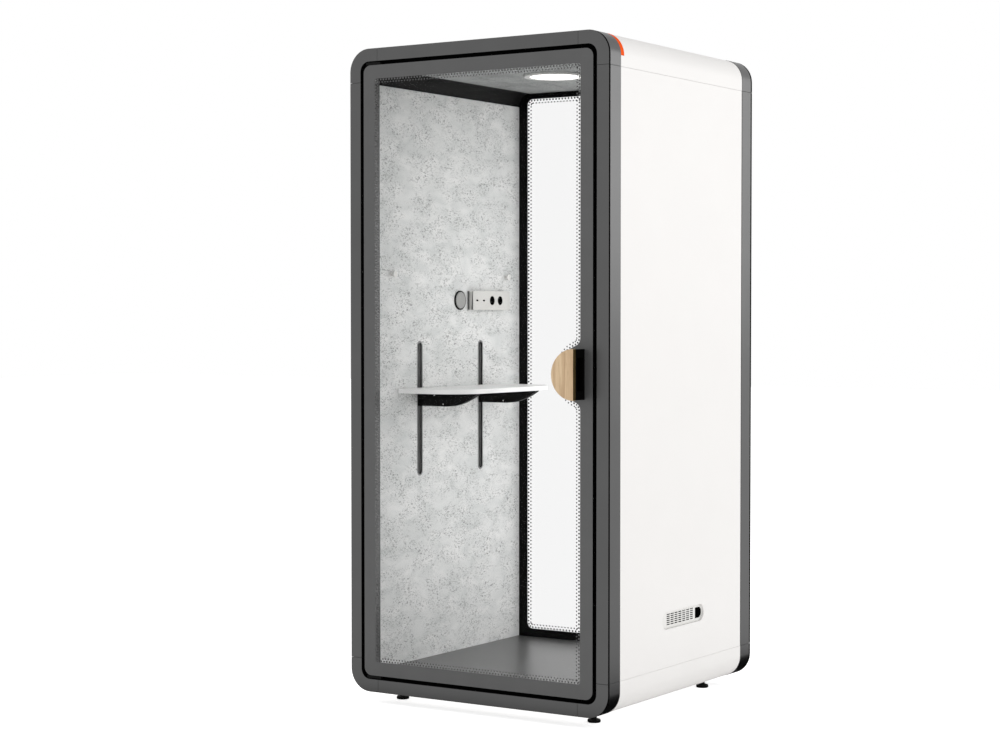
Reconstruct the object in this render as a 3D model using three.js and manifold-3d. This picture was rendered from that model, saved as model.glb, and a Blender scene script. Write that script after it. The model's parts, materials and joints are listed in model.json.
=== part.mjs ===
// Acoustic office pod: a one-person booth with a glass door, felt lining and a height-adjustable desk.
// Millimetres, +Z up, the door faces -Y. The origin is on the floor, in the middle of the plan box.
import * as THREE from 'three';
import { mergeVertices } from 'three/addons/utils/BufferGeometryUtils.js';
import Module from 'manifold-3d';

const wasm = await Module();
wasm.setup();

// Overall sizes
const POD_WIDTH = 1050;
const POD_DEPTH = 1050;
const POD_HEIGHT = 2260;
const CORNER_RADIUS = 80;
const FOOT_CLEARANCE = 40;

// Gaps between neighbouring pieces
const FIT_GAP = 0.3;
const SEAM = 0.6;
const OVERCUT = 5;

// Portal frames: the door stop stands inside the front one, a glazing flange inside the rear one
const FRAME_FACE = 45;
const FRAME_DEPTH = 80;
const CORNER_LENGTH = 117;
const STOP_WIDTH = 25;
const STOP_SETBACK = 25;
const STOP_CORNER_RADIUS = 12;
const FLANGE_DEPTH = 50;

// Outer panels and inner lining
const PANEL_THICKNESS = 20;
const PANEL_INSET = 1;
const PANEL_REAR_GAP = 2.4;
const CARPET_THICKNESS = 6;
const COVE_RADIUS = 50;
const ACCENT_LENGTH = 21;

// Glass
const GLASS_THICKNESS = 10;
const DOOR_GAP = 14;
const LEAF_CORNER_RADIUS = 28;
const BEAD_WIDTH = 15;
const BEAD_DEPTH = 15;
const SEAL_WIDTH = 10;
const SEAL_HINGE_SETBACK = 110;

// Door pivots
const PIVOT_OFFSET = 20;
const PIN_RADIUS = 4;
const PIN_LENGTH = 20;
const SHOE_LENGTH = 60;
const SHOE_LEAD = 9;
const SHOE_CLEARANCE = 3.7;

// Door handle
const HANDLE_RADIUS = 85;
const HANDLE_LEVEL = 1133;
const HANDLE_EDGE = 31;
const HANDLE_PROUD = 75;
const HANDLE_FACE_THICKNESS = 18;
const HANDLE_RIM = 1.5;
const POCKET_HEIGHT = 110;
const POCKET_REACH = 50;
const POCKET_WALL = 9;

// Desk on its two wall rails
const RAIL_WIDTH = 36;
const RAIL_LENGTH = 492;
const RAIL_DEPTH = 20;
const RAIL_LEVEL = 988;
const RAIL_SPACING = 400;
const RAIL_SLOT_WIDTH = 24;
const RAIL_SLOT_DEPTH = 15;
const DESK_LEVEL = 1064;
const DESK_THICKNESS = 17;
const DESK_WIDTH = 676;
const DESK_REACH = 275;
const DESK_CORNER_RADIUS = 130;
const DESK_WALL_GAP = 2;
const BRACKET_REACH = 255;
const BRACKET_DROP = 49;
const BRACKET_FLAT = 125;
const BRACKET_TIP = 4;

// Wall fittings
const SOCKET_BOX_LENGTH = 254;
const SOCKET_BOX_HEIGHT = 72;
const SOCKET_BOX_PROUD = 26;
const SOCKET_BOX_CENTRE = 239;
const SOCKET_BOX_RADIUS = 6;
const FITTING_LEVEL = 1384;
const SOCKET_RADIUS = 17;
const SOCKET_DEPTH = 12;
const SOCKET_CENTRES = [243, 298];
const PORT_WIDTH = 13;
const PORT_HEIGHT = 6;
const PORT_CENTRES = [140, 185];
const DIAL_CENTRE = 58;
const DIAL_RADIUS = 36;
const DIAL_RIM = 4.7;
const DIAL_PROUD = 5;
const KNOB_PROUD = 7;
const PEG_LEVEL = 1475;
const PEG_END_INSET = 150;
const PEG_RADIUS = 12;
const PEG_NECK = 7;
const PEG_PROUD = 18;

// Ceiling lamp
const LAMP_RADIUS = 113;
const LAMP_RIM = 22;
const LAMP_PROUD = 8;
const DIFFUSER_PROUD = 6;
const DRIVER_SIZE = [140, 50, 24];
const DRIVER_OFFSET = 200;

// Vent in the right side panel, and the fan behind it
const VENT_LENGTH = 306;
const VENT_HEIGHT = 60;
const VENT_LEVEL = 278;
const GRILLE_THICKNESS = 3;
const GRILLE_SETBACK = 8;
const SLOT_COLUMNS = 7;
const SLOT_ROWS = 6;
const SLOT_LENGTH = 22;
const SLOT_WIDTH = 3.4;
const SLOT_PITCH = 28.5;
const SLOT_ROW_PITCH = 7;
const SLOT_LIFT = 1.5;
const SLOT_FIRST = -95.5;
const INLET_START = 102;
const INLET_REACH = 27;
const INLET_RADIUS = 19;
const INLET_DEPTH = 40;
const FAN_CENTRE = -30;
const FAN_SIZE = 120;
const FAN_DEPTH = 38;
const FAN_WALL = 4;
const FAN_HUB_RADIUS = 20;
const FAN_SPIDER = 4;
const FAN_STRUT_WIDTH = 6;
const FAN_STRUTS = 4;
const FAN_BLADES = 7;
const FAN_TIP_GAP = 2;
const BLADE_CHORD = 22;
const BLADE_THICKNESS = 2.5;
const BLADE_PITCH = THREE.MathUtils.degToRad(35);
const ROTOR_LENGTH = 26;
const SHAFT_RADIUS = 3;
const AIR_HOLE_RADIUS = 50;

// Levelling feet
const FOOT_SIDE_INSET = 130;
const FOOT_END_INSET = 132;
const FOOT_PAD_RADIUS = 22.5;
const FOOT_PAD_HEIGHT = 12;
const FOOT_STEM_RADIUS = 13;
const FOOT_STUD_RADIUS = 8;
const FOOT_STUD_LENGTH = 16;

// Smoothness of arcs and of turned pieces
const ARC_STEPS = 5;
const FINE_ARC_STEPS = 12;
const TURN_STEPS = 32;

// Places worked out from the sizes, with the frames' underside at height zero
const FRONT = -POD_DEPTH / 2;
const REAR = POD_DEPTH / 2;
const SIDE = POD_WIDTH / 2;
const LINING_INSET = FRAME_FACE + STOP_WIDTH;
const PANEL_BACK = PANEL_INSET + PANEL_THICKNESS;
const WALL_FACE = SIDE - LINING_INSET;
const WALL_BACK = SIDE - PANEL_BACK;
const FLOOR_LEVEL = LINING_INSET;
const CEILING_LEVEL = POD_HEIGHT - LINING_INSET;
const ROOF_BACK = POD_HEIGHT - PANEL_BACK;
const SHELL_FRONT = FRONT + FRAME_DEPTH;
const SHELL_REAR = REAR - FRAME_DEPTH;
const FLANGE_FACE = REAR - FLANGE_DEPTH;
const LINING_REAR = FLANGE_FACE - FIT_GAP;
const LEAF_INSET = FRAME_FACE + DOOR_GAP;
const LEAF_BACK = FRONT + GLASS_THICKNESS;
const PIVOT_X = -SIDE + LEAF_INSET + PIVOT_OFFSET;
const PIVOT_Y = FRONT + GLASS_THICKNESS / 2;
const SHOE_HEIGHT = DOOR_GAP - FIT_GAP - SHOE_CLEARANCE;
const DESK_UNDERSIDE = DESK_LEVEL - DESK_THICKNESS;
const QUARTER = Math.PI / 2;

const pod = new THREE.Group();
pod.name = 'acoustic_pod';
pod.position.set(0, HANDLE_PROUD / 2, FOOT_CLEARANCE);

// Axis maps for outlines drawn in the YZ and XZ planes
const X_AXIS = new THREE.Vector3(1, 0, 0);
const Y_AXIS = new THREE.Vector3(0, 1, 0);
const Z_AXIS = new THREE.Vector3(0, 0, 1);
const ALONG_X = new THREE.Matrix4().makeBasis(Y_AXIS, Z_AXIS, X_AXIS);
const ALONG_Y = new THREE.Matrix4().makeBasis(X_AXIS, Z_AXIS, Y_AXIS.clone().negate());

function extruded(shape, length, arcSteps) {
  return new THREE.ExtrudeGeometry(shape, { depth: length, bevelEnabled: false, curveSegments: arcSteps });
}

// Outline in the YZ plane, pushed along X
function prismX(shape, from, to, arcSteps = ARC_STEPS) {
  return extruded(shape, to - from, arcSteps).applyMatrix4(ALONG_X).translate(from, 0, 0);
}

// Outline in the XZ plane, pushed along Y
function prismY(shape, from, to, arcSteps = ARC_STEPS) {
  return extruded(shape, to - from, arcSteps).applyMatrix4(ALONG_Y).translate(0, to, 0);
}

// Outline in the XY plane, pushed along Z
function prismZ(shape, from, to, arcSteps = ARC_STEPS) {
  return extruded(shape, to - from, arcSteps).translate(0, 0, from);
}

function block(low, high) {
  const size = high.map((value, axis) => value - low[axis]);
  const middle = high.map((value, axis) => (value + low[axis]) / 2);
  return new THREE.BoxGeometry(...size).translate(...middle);
}

// Upright cylinder on the Z axis
function rod(radius, from, to) {
  const cylinder = new THREE.CylinderGeometry(radius, radius, to - from, TURN_STEPS);
  return cylinder.rotateX(QUARTER).translate(0, 0, (from + to) / 2);
}

// Profile of [radius, height] pairs turned about the Z axis
function turned(profile) {
  const points = profile.map(([radius, height]) => new THREE.Vector2(radius, height));
  return new THREE.LatheGeometry(points, TURN_STEPS).rotateX(QUARTER);
}

function polygon(points) {
  return new THREE.Shape(points.map(([across, up]) => new THREE.Vector2(across, up)));
}

function roundedRect(width, height, radius, across = 0, up = 0) {
  const right = across + width / 2;
  const left = across - width / 2;
  const top = up + height / 2;
  const bottom = up - height / 2;
  const shape = new THREE.Shape();
  shape.moveTo(left + radius, bottom);
  shape.lineTo(right - radius, bottom);
  shape.absarc(right - radius, bottom + radius, radius, -QUARTER, 0);
  shape.lineTo(right, top - radius);
  shape.absarc(right - radius, top - radius, radius, 0, QUARTER);
  shape.lineTo(left + radius, top);
  shape.absarc(left + radius, top - radius, radius, QUARTER, 2 * QUARTER);
  shape.lineTo(left, bottom + radius);
  shape.absarc(left + radius, bottom + radius, radius, 2 * QUARTER, 3 * QUARTER);
  return shape;
}

function pill(width, height, across = 0, up = 0) {
  return roundedRect(width, height, Math.min(width, height) / 2, across, up);
}

// Rounded outline that runs a given distance inside the pod's front view
function frontOutline(inset, radius) {
  return roundedRect(POD_WIDTH - 2 * inset, POD_HEIGHT - 2 * inset, radius, 0, POD_HEIGHT / 2);
}

// Closed geometry to a solid for joining and cutting
function solid(geometry) {
  const plain = geometry.clone();
  plain.deleteAttribute('normal');
  plain.deleteAttribute('uv');
  const merged = mergeVertices(plain);
  const triangles = [];
  for (let i = 0; i < merged.index.count; i += 3) {
    const corners = [0, 1, 2].map((step) => merged.index.getX(i + step));
    if (new Set(corners).size === 3) triangles.push(...corners);
  }
  const vertProperties = new Float32Array(merged.attributes.position.array);
  const triVerts = new Uint32Array(triangles);
  return new wasm.Manifold(new wasm.Mesh({ numProp: 3, vertProperties, triVerts }));
}

function geometryOf(body) {
  const mesh = body.getMesh();
  const geometry = new THREE.BufferGeometry();
  geometry.setAttribute('position', new THREE.BufferAttribute(mesh.vertProperties, 3));
  geometry.setIndex(new THREE.BufferAttribute(mesh.triVerts, 1));
  const faceted = geometry.toNonIndexed();
  faceted.computeVertexNormals();
  return faceted;
}

function cut(geometry, ...tools) {
  return geometryOf(tools.reduce((body, tool) => body.subtract(solid(tool)), solid(geometry)));
}

function joined(geometry, ...others) {
  return geometryOf(others.reduce((body, other) => body.add(solid(other)), solid(geometry)));
}

function common(geometry, other) {
  return geometryOf(solid(geometry).intersect(solid(other)));
}

// Finishes: colour, roughness and metalness
const FINISHES = {
  frame: [0x5c5c5c, 0.55, 0.2],
  panel: [0xf2f1ef, 0.5, 0],
  felt: [0xc4c4c2, 0.95, 0],
  ceiling: [0x9a9a98, 0.95, 0],
  black: [0x161616, 0.6, 0],
  carpet: [0x6a6a6a, 1, 0],
  desk: [0xe9e9e7, 0.45, 0],
  orange: [0xff5a14, 0.4, 0],
  wood: [0xc8ae88, 0.6, 0],
  lamp: [0xfdfdfb, 0.4, 0],
  plastic: [0xb9b7b2, 0.5, 0],
  metal: [0xa8a8a8, 0.35, 0.9],
  glass: [0xdfe8e6, 0.05, 0],
};

function node(name, finish, geometry, place = [0, 0, 0]) {
  const [color, roughness, metalness] = FINISHES[finish];
  const mesh = new THREE.Mesh(geometry, new THREE.MeshStandardMaterial({ color, roughness, metalness }));
  mesh.name = name;
  mesh.position.set(...place);
  pod.add(mesh);
  return mesh;
}

// Portal frames, each cut at its seams into four corner castings and four rails
function addPortal(name, portal) {
  const inner = SIDE - CORNER_LENGTH;
  const low = CORNER_LENGTH;
  const high = POD_HEIGHT - CORNER_LENGTH;
  const half = SEAM / 2;
  const spansX = { left: [-SIDE - OVERCUT, -inner - half], right: [inner + half, SIDE + OVERCUT] };
  const spansZ = { bottom: [-OVERCUT, low - half], top: [high + half, POD_HEIGHT + OVERCUT] };
  const middleX = [-inner + half, inner - half];
  const middleZ = [low + half, high - half];
  const piece = (suffix, [x0, x1], [z0, z1]) => {
    const region = block([x0, FRONT - OVERCUT, z0], [x1, REAR + OVERCUT, z1]);
    node(`${name}_${suffix}`, 'frame', common(portal, region));
  };
  for (const [side, spanX] of Object.entries(spansX)) {
    piece(`rail_${side}`, spanX, middleZ);
    for (const [level, spanZ] of Object.entries(spansZ)) piece(`corner_${level}_${side}`, spanX, spanZ);
  }
  for (const [level, spanZ] of Object.entries(spansZ)) piece(`rail_${level}`, middleX, spanZ);
}

function addFrontPortal() {
  const recess = frontOutline(FRAME_FACE, CORNER_RADIUS - FRAME_FACE);
  const opening = frontOutline(LINING_INSET, STOP_CORNER_RADIUS);
  const outer = prismY(frontOutline(0, CORNER_RADIUS), FRONT, SHELL_FRONT);
  const reach = LEAF_INSET - FIT_GAP - SHOE_HEIGHT - PIN_LENGTH - FIT_GAP;
  const pinHoles = rod(PIN_RADIUS + FIT_GAP, reach, POD_HEIGHT - reach).translate(PIVOT_X, PIVOT_Y, 0);
  addPortal('front_frame', cut(
    outer,
    prismY(recess, FRONT - OVERCUT, FRONT + STOP_SETBACK),
    prismY(opening, FRONT - OVERCUT, SHELL_FRONT + OVERCUT),
    pinHoles,
  ));
}

function addRearPortal() {
  const shellBay = frontOutline(PANEL_BACK, CORNER_RADIUS - PANEL_BACK);
  const opening = frontOutline(FRAME_FACE, CORNER_RADIUS - FRAME_FACE);
  const outer = prismY(frontOutline(0, CORNER_RADIUS), SHELL_REAR, REAR);
  addPortal('rear_frame', cut(
    outer,
    prismY(shellBay, SHELL_REAR - OVERCUT, FLANGE_FACE),
    prismY(opening, SHELL_REAR - OVERCUT, REAR + OVERCUT),
  ));
}

// White outer panels between the portals
function ventOutline(shrink) {
  return pill(VENT_LENGTH - 2 * shrink, VENT_HEIGHT - 2 * shrink, 0, VENT_LEVEL);
}

function addOuterPanels() {
  const front = SHELL_FRONT + SEAM;
  const rear = SHELL_REAR - SEAM;
  const low = CORNER_LENGTH + SEAM / 2;
  const high = POD_HEIGHT - low;
  const across = SIDE - low;
  const sideRear = SHELL_REAR - PANEL_REAR_GAP;
  const sidePanel = block([WALL_BACK, front, low], [SIDE - PANEL_INSET, sideRear, high]);
  const leftPanel = block([-SIDE + PANEL_INSET, front, low], [-WALL_BACK, sideRear, high]);
  node('side_panel_left', 'panel', leftPanel);
  node('side_panel_right', 'panel', cut(sidePanel, prismX(ventOutline(0), WALL_BACK - OVERCUT, SIDE + OVERCUT)));
  node('roof_panel', 'panel', block([-across, front, ROOF_BACK], [across, rear, POD_HEIGHT - PANEL_INSET]));
  const base = block([-across, front, PANEL_INSET], [across, rear, PANEL_BACK]);
  const studHoles = footPlaces().map(([, x, y]) => (
    rod(FOOT_STUD_RADIUS + FIT_GAP, -OVERCUT, PANEL_BACK + OVERCUT).translate(x, y, 0)
  ));
  node('base_panel', 'panel', cut(base, ...studHoles));
  addEdgeSkins(front, rear, low - SEAM);
}

// Rounded edge skins along the four long edges, with the accent strip let into the top right one
function addEdgeSkins(front, rear, leg) {
  const ring = frontOutline(PANEL_INSET, CORNER_RADIUS - PANEL_INSET);
  ring.holes.push(frontOutline(PANEL_BACK, CORNER_RADIUS - PANEL_BACK));
  const sleeve = prismY(ring, front, rear);
  const accentRing = frontOutline(0, CORNER_RADIUS);
  accentRing.holes.push(frontOutline(PANEL_BACK, CORNER_RADIUS - PANEL_BACK));
  const accentEnd = front + ACCENT_LENGTH;
  const accentX = SIDE - CORNER_RADIUS;
  const accentZ = POD_HEIGHT - CORNER_RADIUS;
  const farX = SIDE + OVERCUT;
  const farZ = POD_HEIGHT + OVERCUT;
  const accentBay = block([accentX, front - OVERCUT, accentZ], [farX, accentEnd + FIT_GAP, farZ]);
  const accentRegion = block([accentX + FIT_GAP, front - OVERCUT, accentZ + FIT_GAP], [farX, REAR, farZ]);
  for (const [side, sign] of [['left', -1], ['right', 1]]) {
    const spanX = [sign * (SIDE - leg), sign * farX].sort((a, b) => a - b);
    for (const [level, spanZ] of [['bottom', [-OVERCUT, leg]], ['top', [POD_HEIGHT - leg, farZ]]]) {
      const region = block([spanX[0], FRONT, spanZ[0]], [spanX[1], REAR, spanZ[1]]);
      const skin = common(sleeve, region);
      const hasAccent = side === 'right' && level === 'top';
      node(`edge_skin_${level}_${side}`, 'panel', hasAccent ? cut(skin, accentBay) : skin);
    }
  }
  node('accent_strip', 'orange', common(prismY(accentRing, front, accentEnd), accentRegion));
}

// Felt walls, ceiling, coves and floor inside the shell
function feltSection(sign) {
  const corner = SIDE - CORNER_RADIUS;
  const low = corner + FLOOR_LEVEL - PANEL_BACK;
  return polygon([
    [sign * WALL_FACE, FLOOR_LEVEL],
    [sign * low, FLOOR_LEVEL],
    [sign * WALL_BACK, CORNER_RADIUS],
    [sign * WALL_BACK, CEILING_LEVEL - COVE_RADIUS],
    [sign * WALL_FACE, CEILING_LEVEL - COVE_RADIUS],
  ]);
}

function coveSection() {
  const foot = CEILING_LEVEL - COVE_RADIUS;
  const inner = WALL_FACE - COVE_RADIUS;
  const shape = new THREE.Shape();
  shape.moveTo(WALL_BACK, foot);
  shape.lineTo(WALL_BACK, POD_HEIGHT - CORNER_RADIUS);
  shape.lineTo(SIDE - CORNER_RADIUS, ROOF_BACK);
  shape.lineTo(inner, ROOF_BACK);
  shape.lineTo(inner, CEILING_LEVEL);
  shape.absarc(inner, foot, COVE_RADIUS, QUARTER, 0, true);
  return shape;
}

function addLining() {
  const railPockets = railPlaces().map((y) => (
    prismX(
      pill(RAIL_WIDTH + 2 * FIT_GAP, RAIL_LENGTH + 2 * FIT_GAP, y, RAIL_LEVEL),
      -WALL_FACE - RAIL_DEPTH - FIT_GAP,
      -WALL_FACE + OVERCUT,
    )
  ));
  const fanHalf = FAN_SIZE / 2 + FIT_GAP;
  const fanBay = block(
    [WALL_BACK - FAN_DEPTH - FIT_GAP, FAN_CENTRE - fanHalf, VENT_LEVEL - fanHalf],
    [WALL_BACK + OVERCUT, FAN_CENTRE + fanHalf, VENT_LEVEL + fanHalf],
  );
  const airHole = rod(AIR_HOLE_RADIUS, WALL_FACE - OVERCUT, WALL_BACK).rotateY(QUARTER);
  const inletBay = prismX(inletOutline(), WALL_BACK - INLET_DEPTH, WALL_BACK + OVERCUT);
  const leftFelt = prismY(feltSection(-1), SHELL_FRONT, LINING_REAR);
  const rightFelt = prismY(feltSection(1), SHELL_FRONT, LINING_REAR);
  node('felt_wall_left', 'felt', cut(leftFelt, ...railPockets));
  node('felt_wall_right', 'felt', cut(rightFelt, fanBay, airHole.translate(0, FAN_CENTRE, VENT_LEVEL), inletBay));
  node('cove_right', 'black', prismY(coveSection(), SHELL_FRONT, LINING_REAR));
  const leftCove = node('cove_left', 'black', prismY(coveSection(), -LINING_REAR, -SHELL_FRONT));
  leftCove.rotation.z = Math.PI;

  const ceilingHalf = WALL_FACE - COVE_RADIUS;
  const ceiling = block([-ceilingHalf, SHELL_FRONT, CEILING_LEVEL], [ceilingHalf, LINING_REAR, ROOF_BACK]);
  const [driverLength, driverWidth, driverHeight] = DRIVER_SIZE;
  const driverFloor = ROOF_BACK - driverHeight - FIT_GAP;
  const driverBay = roundedRect(driverLength + 2 * FIT_GAP, driverWidth + 2 * FIT_GAP, FIT_GAP, 0, DRIVER_OFFSET);
  node('ceiling_lining', 'ceiling', cut(ceiling, prismZ(driverBay, driverFloor, ROOF_BACK + OVERCUT)));
  const driver = new THREE.BoxGeometry(driverLength, driverWidth, driverHeight);
  node('lamp_driver', 'plastic', driver, [0, DRIVER_OFFSET, driverFloor + driverHeight / 2]);

  const carpetBottom = FLOOR_LEVEL - CARPET_THICKNESS;
  const deckLow = SIDE - CORNER_RADIUS;
  const deckHigh = deckLow + carpetBottom - PANEL_BACK;
  const deck = polygon([
    [-deckLow, PANEL_BACK],
    [deckLow, PANEL_BACK],
    [deckHigh, carpetBottom],
    [-deckHigh, carpetBottom],
  ]);
  node('floor_deck', 'wood', prismY(deck, SHELL_FRONT, LINING_REAR));
  node('carpet', 'carpet', block([-deckHigh, SHELL_FRONT, carpetBottom], [deckHigh, LINING_REAR, FLOOR_LEVEL]));
}

// Fixed glass in the rear portal, held from outside by a bead
function addRearGlass() {
  const edge = FRAME_FACE + FIT_GAP;
  const radius = CORNER_RADIUS - edge;
  const bead = frontOutline(edge, radius);
  bead.holes.push(frontOutline(edge + BEAD_WIDTH, radius - BEAD_WIDTH));
  const beadFront = FLANGE_FACE + GLASS_THICKNESS + FIT_GAP;
  node('rear_glass', 'glass', prismY(frontOutline(edge, radius), FLANGE_FACE, FLANGE_FACE + GLASS_THICKNESS));
  node('rear_glazing_bead', 'black', prismY(bead, beadFront, beadFront + BEAD_DEPTH));
}

// Door leaf on a pivot shoe at its top and one at its bottom
function addDoor() {
  node('door_glass', 'glass', prismY(frontOutline(LEAF_INSET, LEAF_CORNER_RADIUS), FRONT, LEAF_BACK));
  const shoe = block(
    [-SHOE_LEAD, -GLASS_THICKNESS / 2, FIT_GAP],
    [SHOE_LENGTH - SHOE_LEAD, GLASS_THICKNESS / 2, FIT_GAP + SHOE_HEIGHT],
  );
  const pin = rod(PIN_RADIUS, SHOE_HEIGHT / 2, FIT_GAP + SHOE_HEIGHT + PIN_LENGTH);
  const fitting = joined(shoe, pin);
  node('pivot_shoe_top', 'black', fitting, [PIVOT_X, PIVOT_Y, POD_HEIGHT - LEAF_INSET]);
  const lower = node('pivot_shoe_bottom', 'black', fitting.clone(), [PIVOT_X, PIVOT_Y, LEAF_INSET]);
  lower.rotation.x = Math.PI;

  const sealOutline = frontOutline(LEAF_INSET + FIT_GAP, LEAF_CORNER_RADIUS);
  sealOutline.holes.push(frontOutline(LEAF_INSET + FIT_GAP + SEAL_WIDTH, LEAF_CORNER_RADIUS - SEAL_WIDTH));
  const ring = prismY(sealOutline, LEAF_BACK + FIT_GAP, FRONT + STOP_SETBACK - FIT_GAP);
  const hingeSide = block([-SIDE, FRONT, 0], [-SIDE + SEAL_HINGE_SETBACK, SHELL_FRONT, POD_HEIGHT]);
  node('door_seal', 'black', cut(ring, hingeSide));
}

// Half-round handle: a wooden face on a black body with a finger pocket in its flat side
function addHandle() {
  const flatX = SIDE - LEAF_INSET - HANDLE_EDGE;
  const faceBack = FRONT - HANDLE_PROUD + HANDLE_FACE_THICKNESS;
  const halfDisc = (radius) => {
    const shape = new THREE.Shape();
    shape.moveTo(flatX, HANDLE_LEVEL - radius);
    shape.lineTo(flatX, HANDLE_LEVEL + radius);
    shape.absarc(flatX, HANDLE_LEVEL, radius, QUARTER, 3 * QUARTER);
    return shape;
  };
  const face = prismY(halfDisc(HANDLE_RADIUS), FRONT - HANDLE_PROUD, faceBack, FINE_ARC_STEPS);
  const body = prismY(halfDisc(HANDLE_RADIUS - HANDLE_RIM), faceBack, FRONT, FINE_ARC_STEPS);
  const pocket = block(
    [flatX - POCKET_REACH, faceBack + POCKET_WALL, HANDLE_LEVEL - POCKET_HEIGHT / 2],
    [flatX + OVERCUT, FRONT - POCKET_WALL, HANDLE_LEVEL + POCKET_HEIGHT / 2],
  );
  node('handle_face', 'wood', face);
  node('handle_body', 'black', cut(body, pocket));
}

// Wall rails, and the desk on the two brackets that slide in them
function railPlaces() {
  return [-RAIL_SPACING / 2, RAIL_SPACING / 2];
}

function deskOutline() {
  const wall = -WALL_FACE + DESK_WALL_GAP;
  const centreX = -WALL_FACE + DESK_REACH - DESK_CORNER_RADIUS;
  const half = DESK_WIDTH / 2;
  const centreY = half - DESK_CORNER_RADIUS;
  const shape = new THREE.Shape();
  shape.moveTo(wall, -half);
  shape.lineTo(centreX, -half);
  shape.absarc(centreX, -centreY, DESK_CORNER_RADIUS, -QUARTER, 0);
  shape.absarc(centreX, centreY, DESK_CORNER_RADIUS, 0, QUARTER);
  shape.lineTo(wall, half);
  return shape;
}

function bracketOutline() {
  const root = -WALL_FACE - RAIL_SLOT_DEPTH + FIT_GAP;
  const flatEnd = -WALL_FACE + BRACKET_FLAT;
  const tip = -WALL_FACE + BRACKET_REACH;
  const low = DESK_UNDERSIDE - BRACKET_DROP;
  const shape = new THREE.Shape();
  shape.moveTo(root, low);
  shape.lineTo(flatEnd, low);
  shape.quadraticCurveTo((flatEnd + tip) / 2, low, tip, DESK_UNDERSIDE - BRACKET_TIP);
  shape.lineTo(tip, DESK_UNDERSIDE);
  shape.lineTo(root, DESK_UNDERSIDE);
  return shape;
}

function addDesk() {
  node('desk_top', 'desk', prismZ(deskOutline(), DESK_UNDERSIDE, DESK_LEVEL, FINE_ARC_STEPS));
  const slotLength = RAIL_LENGTH - RAIL_WIDTH + RAIL_SLOT_WIDTH;
  const thickness = RAIL_SLOT_WIDTH - 2 * FIT_GAP;
  railPlaces().forEach((y, i) => {
    const end = ['front', 'rear'][i];
    const rail = prismX(pill(RAIL_WIDTH, RAIL_LENGTH, y, RAIL_LEVEL), -WALL_FACE - RAIL_DEPTH, -WALL_FACE);
    const slot = prismX(
      pill(RAIL_SLOT_WIDTH, slotLength, y, RAIL_LEVEL),
      -WALL_FACE - RAIL_SLOT_DEPTH,
      -WALL_FACE + OVERCUT,
    );
    node(`desk_rail_${end}`, 'metal', cut(rail, slot));
    node(`desk_bracket_${end}`, 'black', prismY(bracketOutline(), y - thickness / 2, y + thickness / 2));
  });
}

// Socket box, dial and coat pegs on the left wall
function addWallFittings() {
  const boxFace = -WALL_FACE + SOCKET_BOX_PROUD;
  const housing = roundedRect(
    SOCKET_BOX_LENGTH, SOCKET_BOX_HEIGHT, SOCKET_BOX_RADIUS, SOCKET_BOX_CENTRE, FITTING_LEVEL,
  );
  const wells = SOCKET_CENTRES.map((y) => (
    rod(SOCKET_RADIUS, boxFace - SOCKET_DEPTH, boxFace + OVERCUT).rotateY(QUARTER).translate(0, y, FITTING_LEVEL)
  ));
  const ports = PORT_CENTRES.map((y) => block(
    [boxFace - SOCKET_DEPTH, y - PORT_WIDTH / 2, FITTING_LEVEL - PORT_HEIGHT / 2],
    [boxFace + OVERCUT, y + PORT_WIDTH / 2, FITTING_LEVEL + PORT_HEIGHT / 2],
  ));
  node('socket_box', 'plastic', cut(prismX(housing, -WALL_FACE, boxFace), ...wells, ...ports));

  const knobRadius = DIAL_RADIUS - DIAL_RIM - FIT_GAP;
  const bezel = turned([
    [DIAL_RADIUS - DIAL_RIM, 0],
    [DIAL_RADIUS, 0],
    [DIAL_RADIUS, DIAL_PROUD],
    [DIAL_RADIUS - DIAL_RIM, DIAL_PROUD],
    [DIAL_RADIUS - DIAL_RIM, 0],
  ]);
  const knob = turned([[0, FIT_GAP], [knobRadius, FIT_GAP], [knobRadius, KNOB_PROUD], [0, KNOB_PROUD]]);
  const dialPlace = [-WALL_FACE, DIAL_CENTRE, FITTING_LEVEL];
  node('dial_bezel', 'black', bezel, dialPlace).rotation.y = QUARTER;
  node('dial_knob', 'plastic', knob, dialPlace).rotation.y = QUARTER;

  const peg = turned([
    [0, 0],
    [PEG_NECK, 0],
    [PEG_NECK, PEG_PROUD - PEG_RADIUS],
    [PEG_RADIUS, PEG_PROUD - PEG_NECK],
    [PEG_RADIUS, PEG_PROUD],
    [0, PEG_PROUD],
  ]);
  const pegPlaces = [FRONT + PEG_END_INSET, REAR - PEG_END_INSET];
  pegPlaces.forEach((y, i) => {
    const end = ['front', 'rear'][i];
    node(`coat_peg_${end}`, 'plastic', peg.clone(), [-WALL_FACE, y, PEG_LEVEL]).rotation.y = QUARTER;
  });
}

// Round ceiling lamp
function addLamp() {
  const rimInner = LAMP_RADIUS - LAMP_RIM;
  const diffuserRadius = rimInner - FIT_GAP;
  const ring = turned([
    [rimInner, -LAMP_PROUD],
    [LAMP_RADIUS, -LAMP_PROUD],
    [LAMP_RADIUS, 0],
    [rimInner, 0],
    [rimInner, -LAMP_PROUD],
  ]);
  const diffuser = turned([[0, -DIFFUSER_PROUD], [diffuserRadius, -DIFFUSER_PROUD], [diffuserRadius, 0], [0, 0]]);
  node('lamp_ring', 'panel', ring, [0, 0, CEILING_LEVEL]);
  node('lamp_diffuser', 'lamp', diffuser, [0, 0, CEILING_LEVEL]);
}

// Vent grille in the right side panel, with the cable inlet at its rear end
function inletOutline() {
  const centre = INLET_START + INLET_REACH;
  const shape = new THREE.Shape();
  shape.moveTo(INLET_START, VENT_LEVEL - INLET_RADIUS);
  shape.lineTo(centre, VENT_LEVEL - INLET_RADIUS);
  shape.absarc(centre, VENT_LEVEL, INLET_RADIUS, -QUARTER, QUARTER);
  shape.lineTo(INLET_START, VENT_LEVEL + INLET_RADIUS);
  return shape;
}

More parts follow.
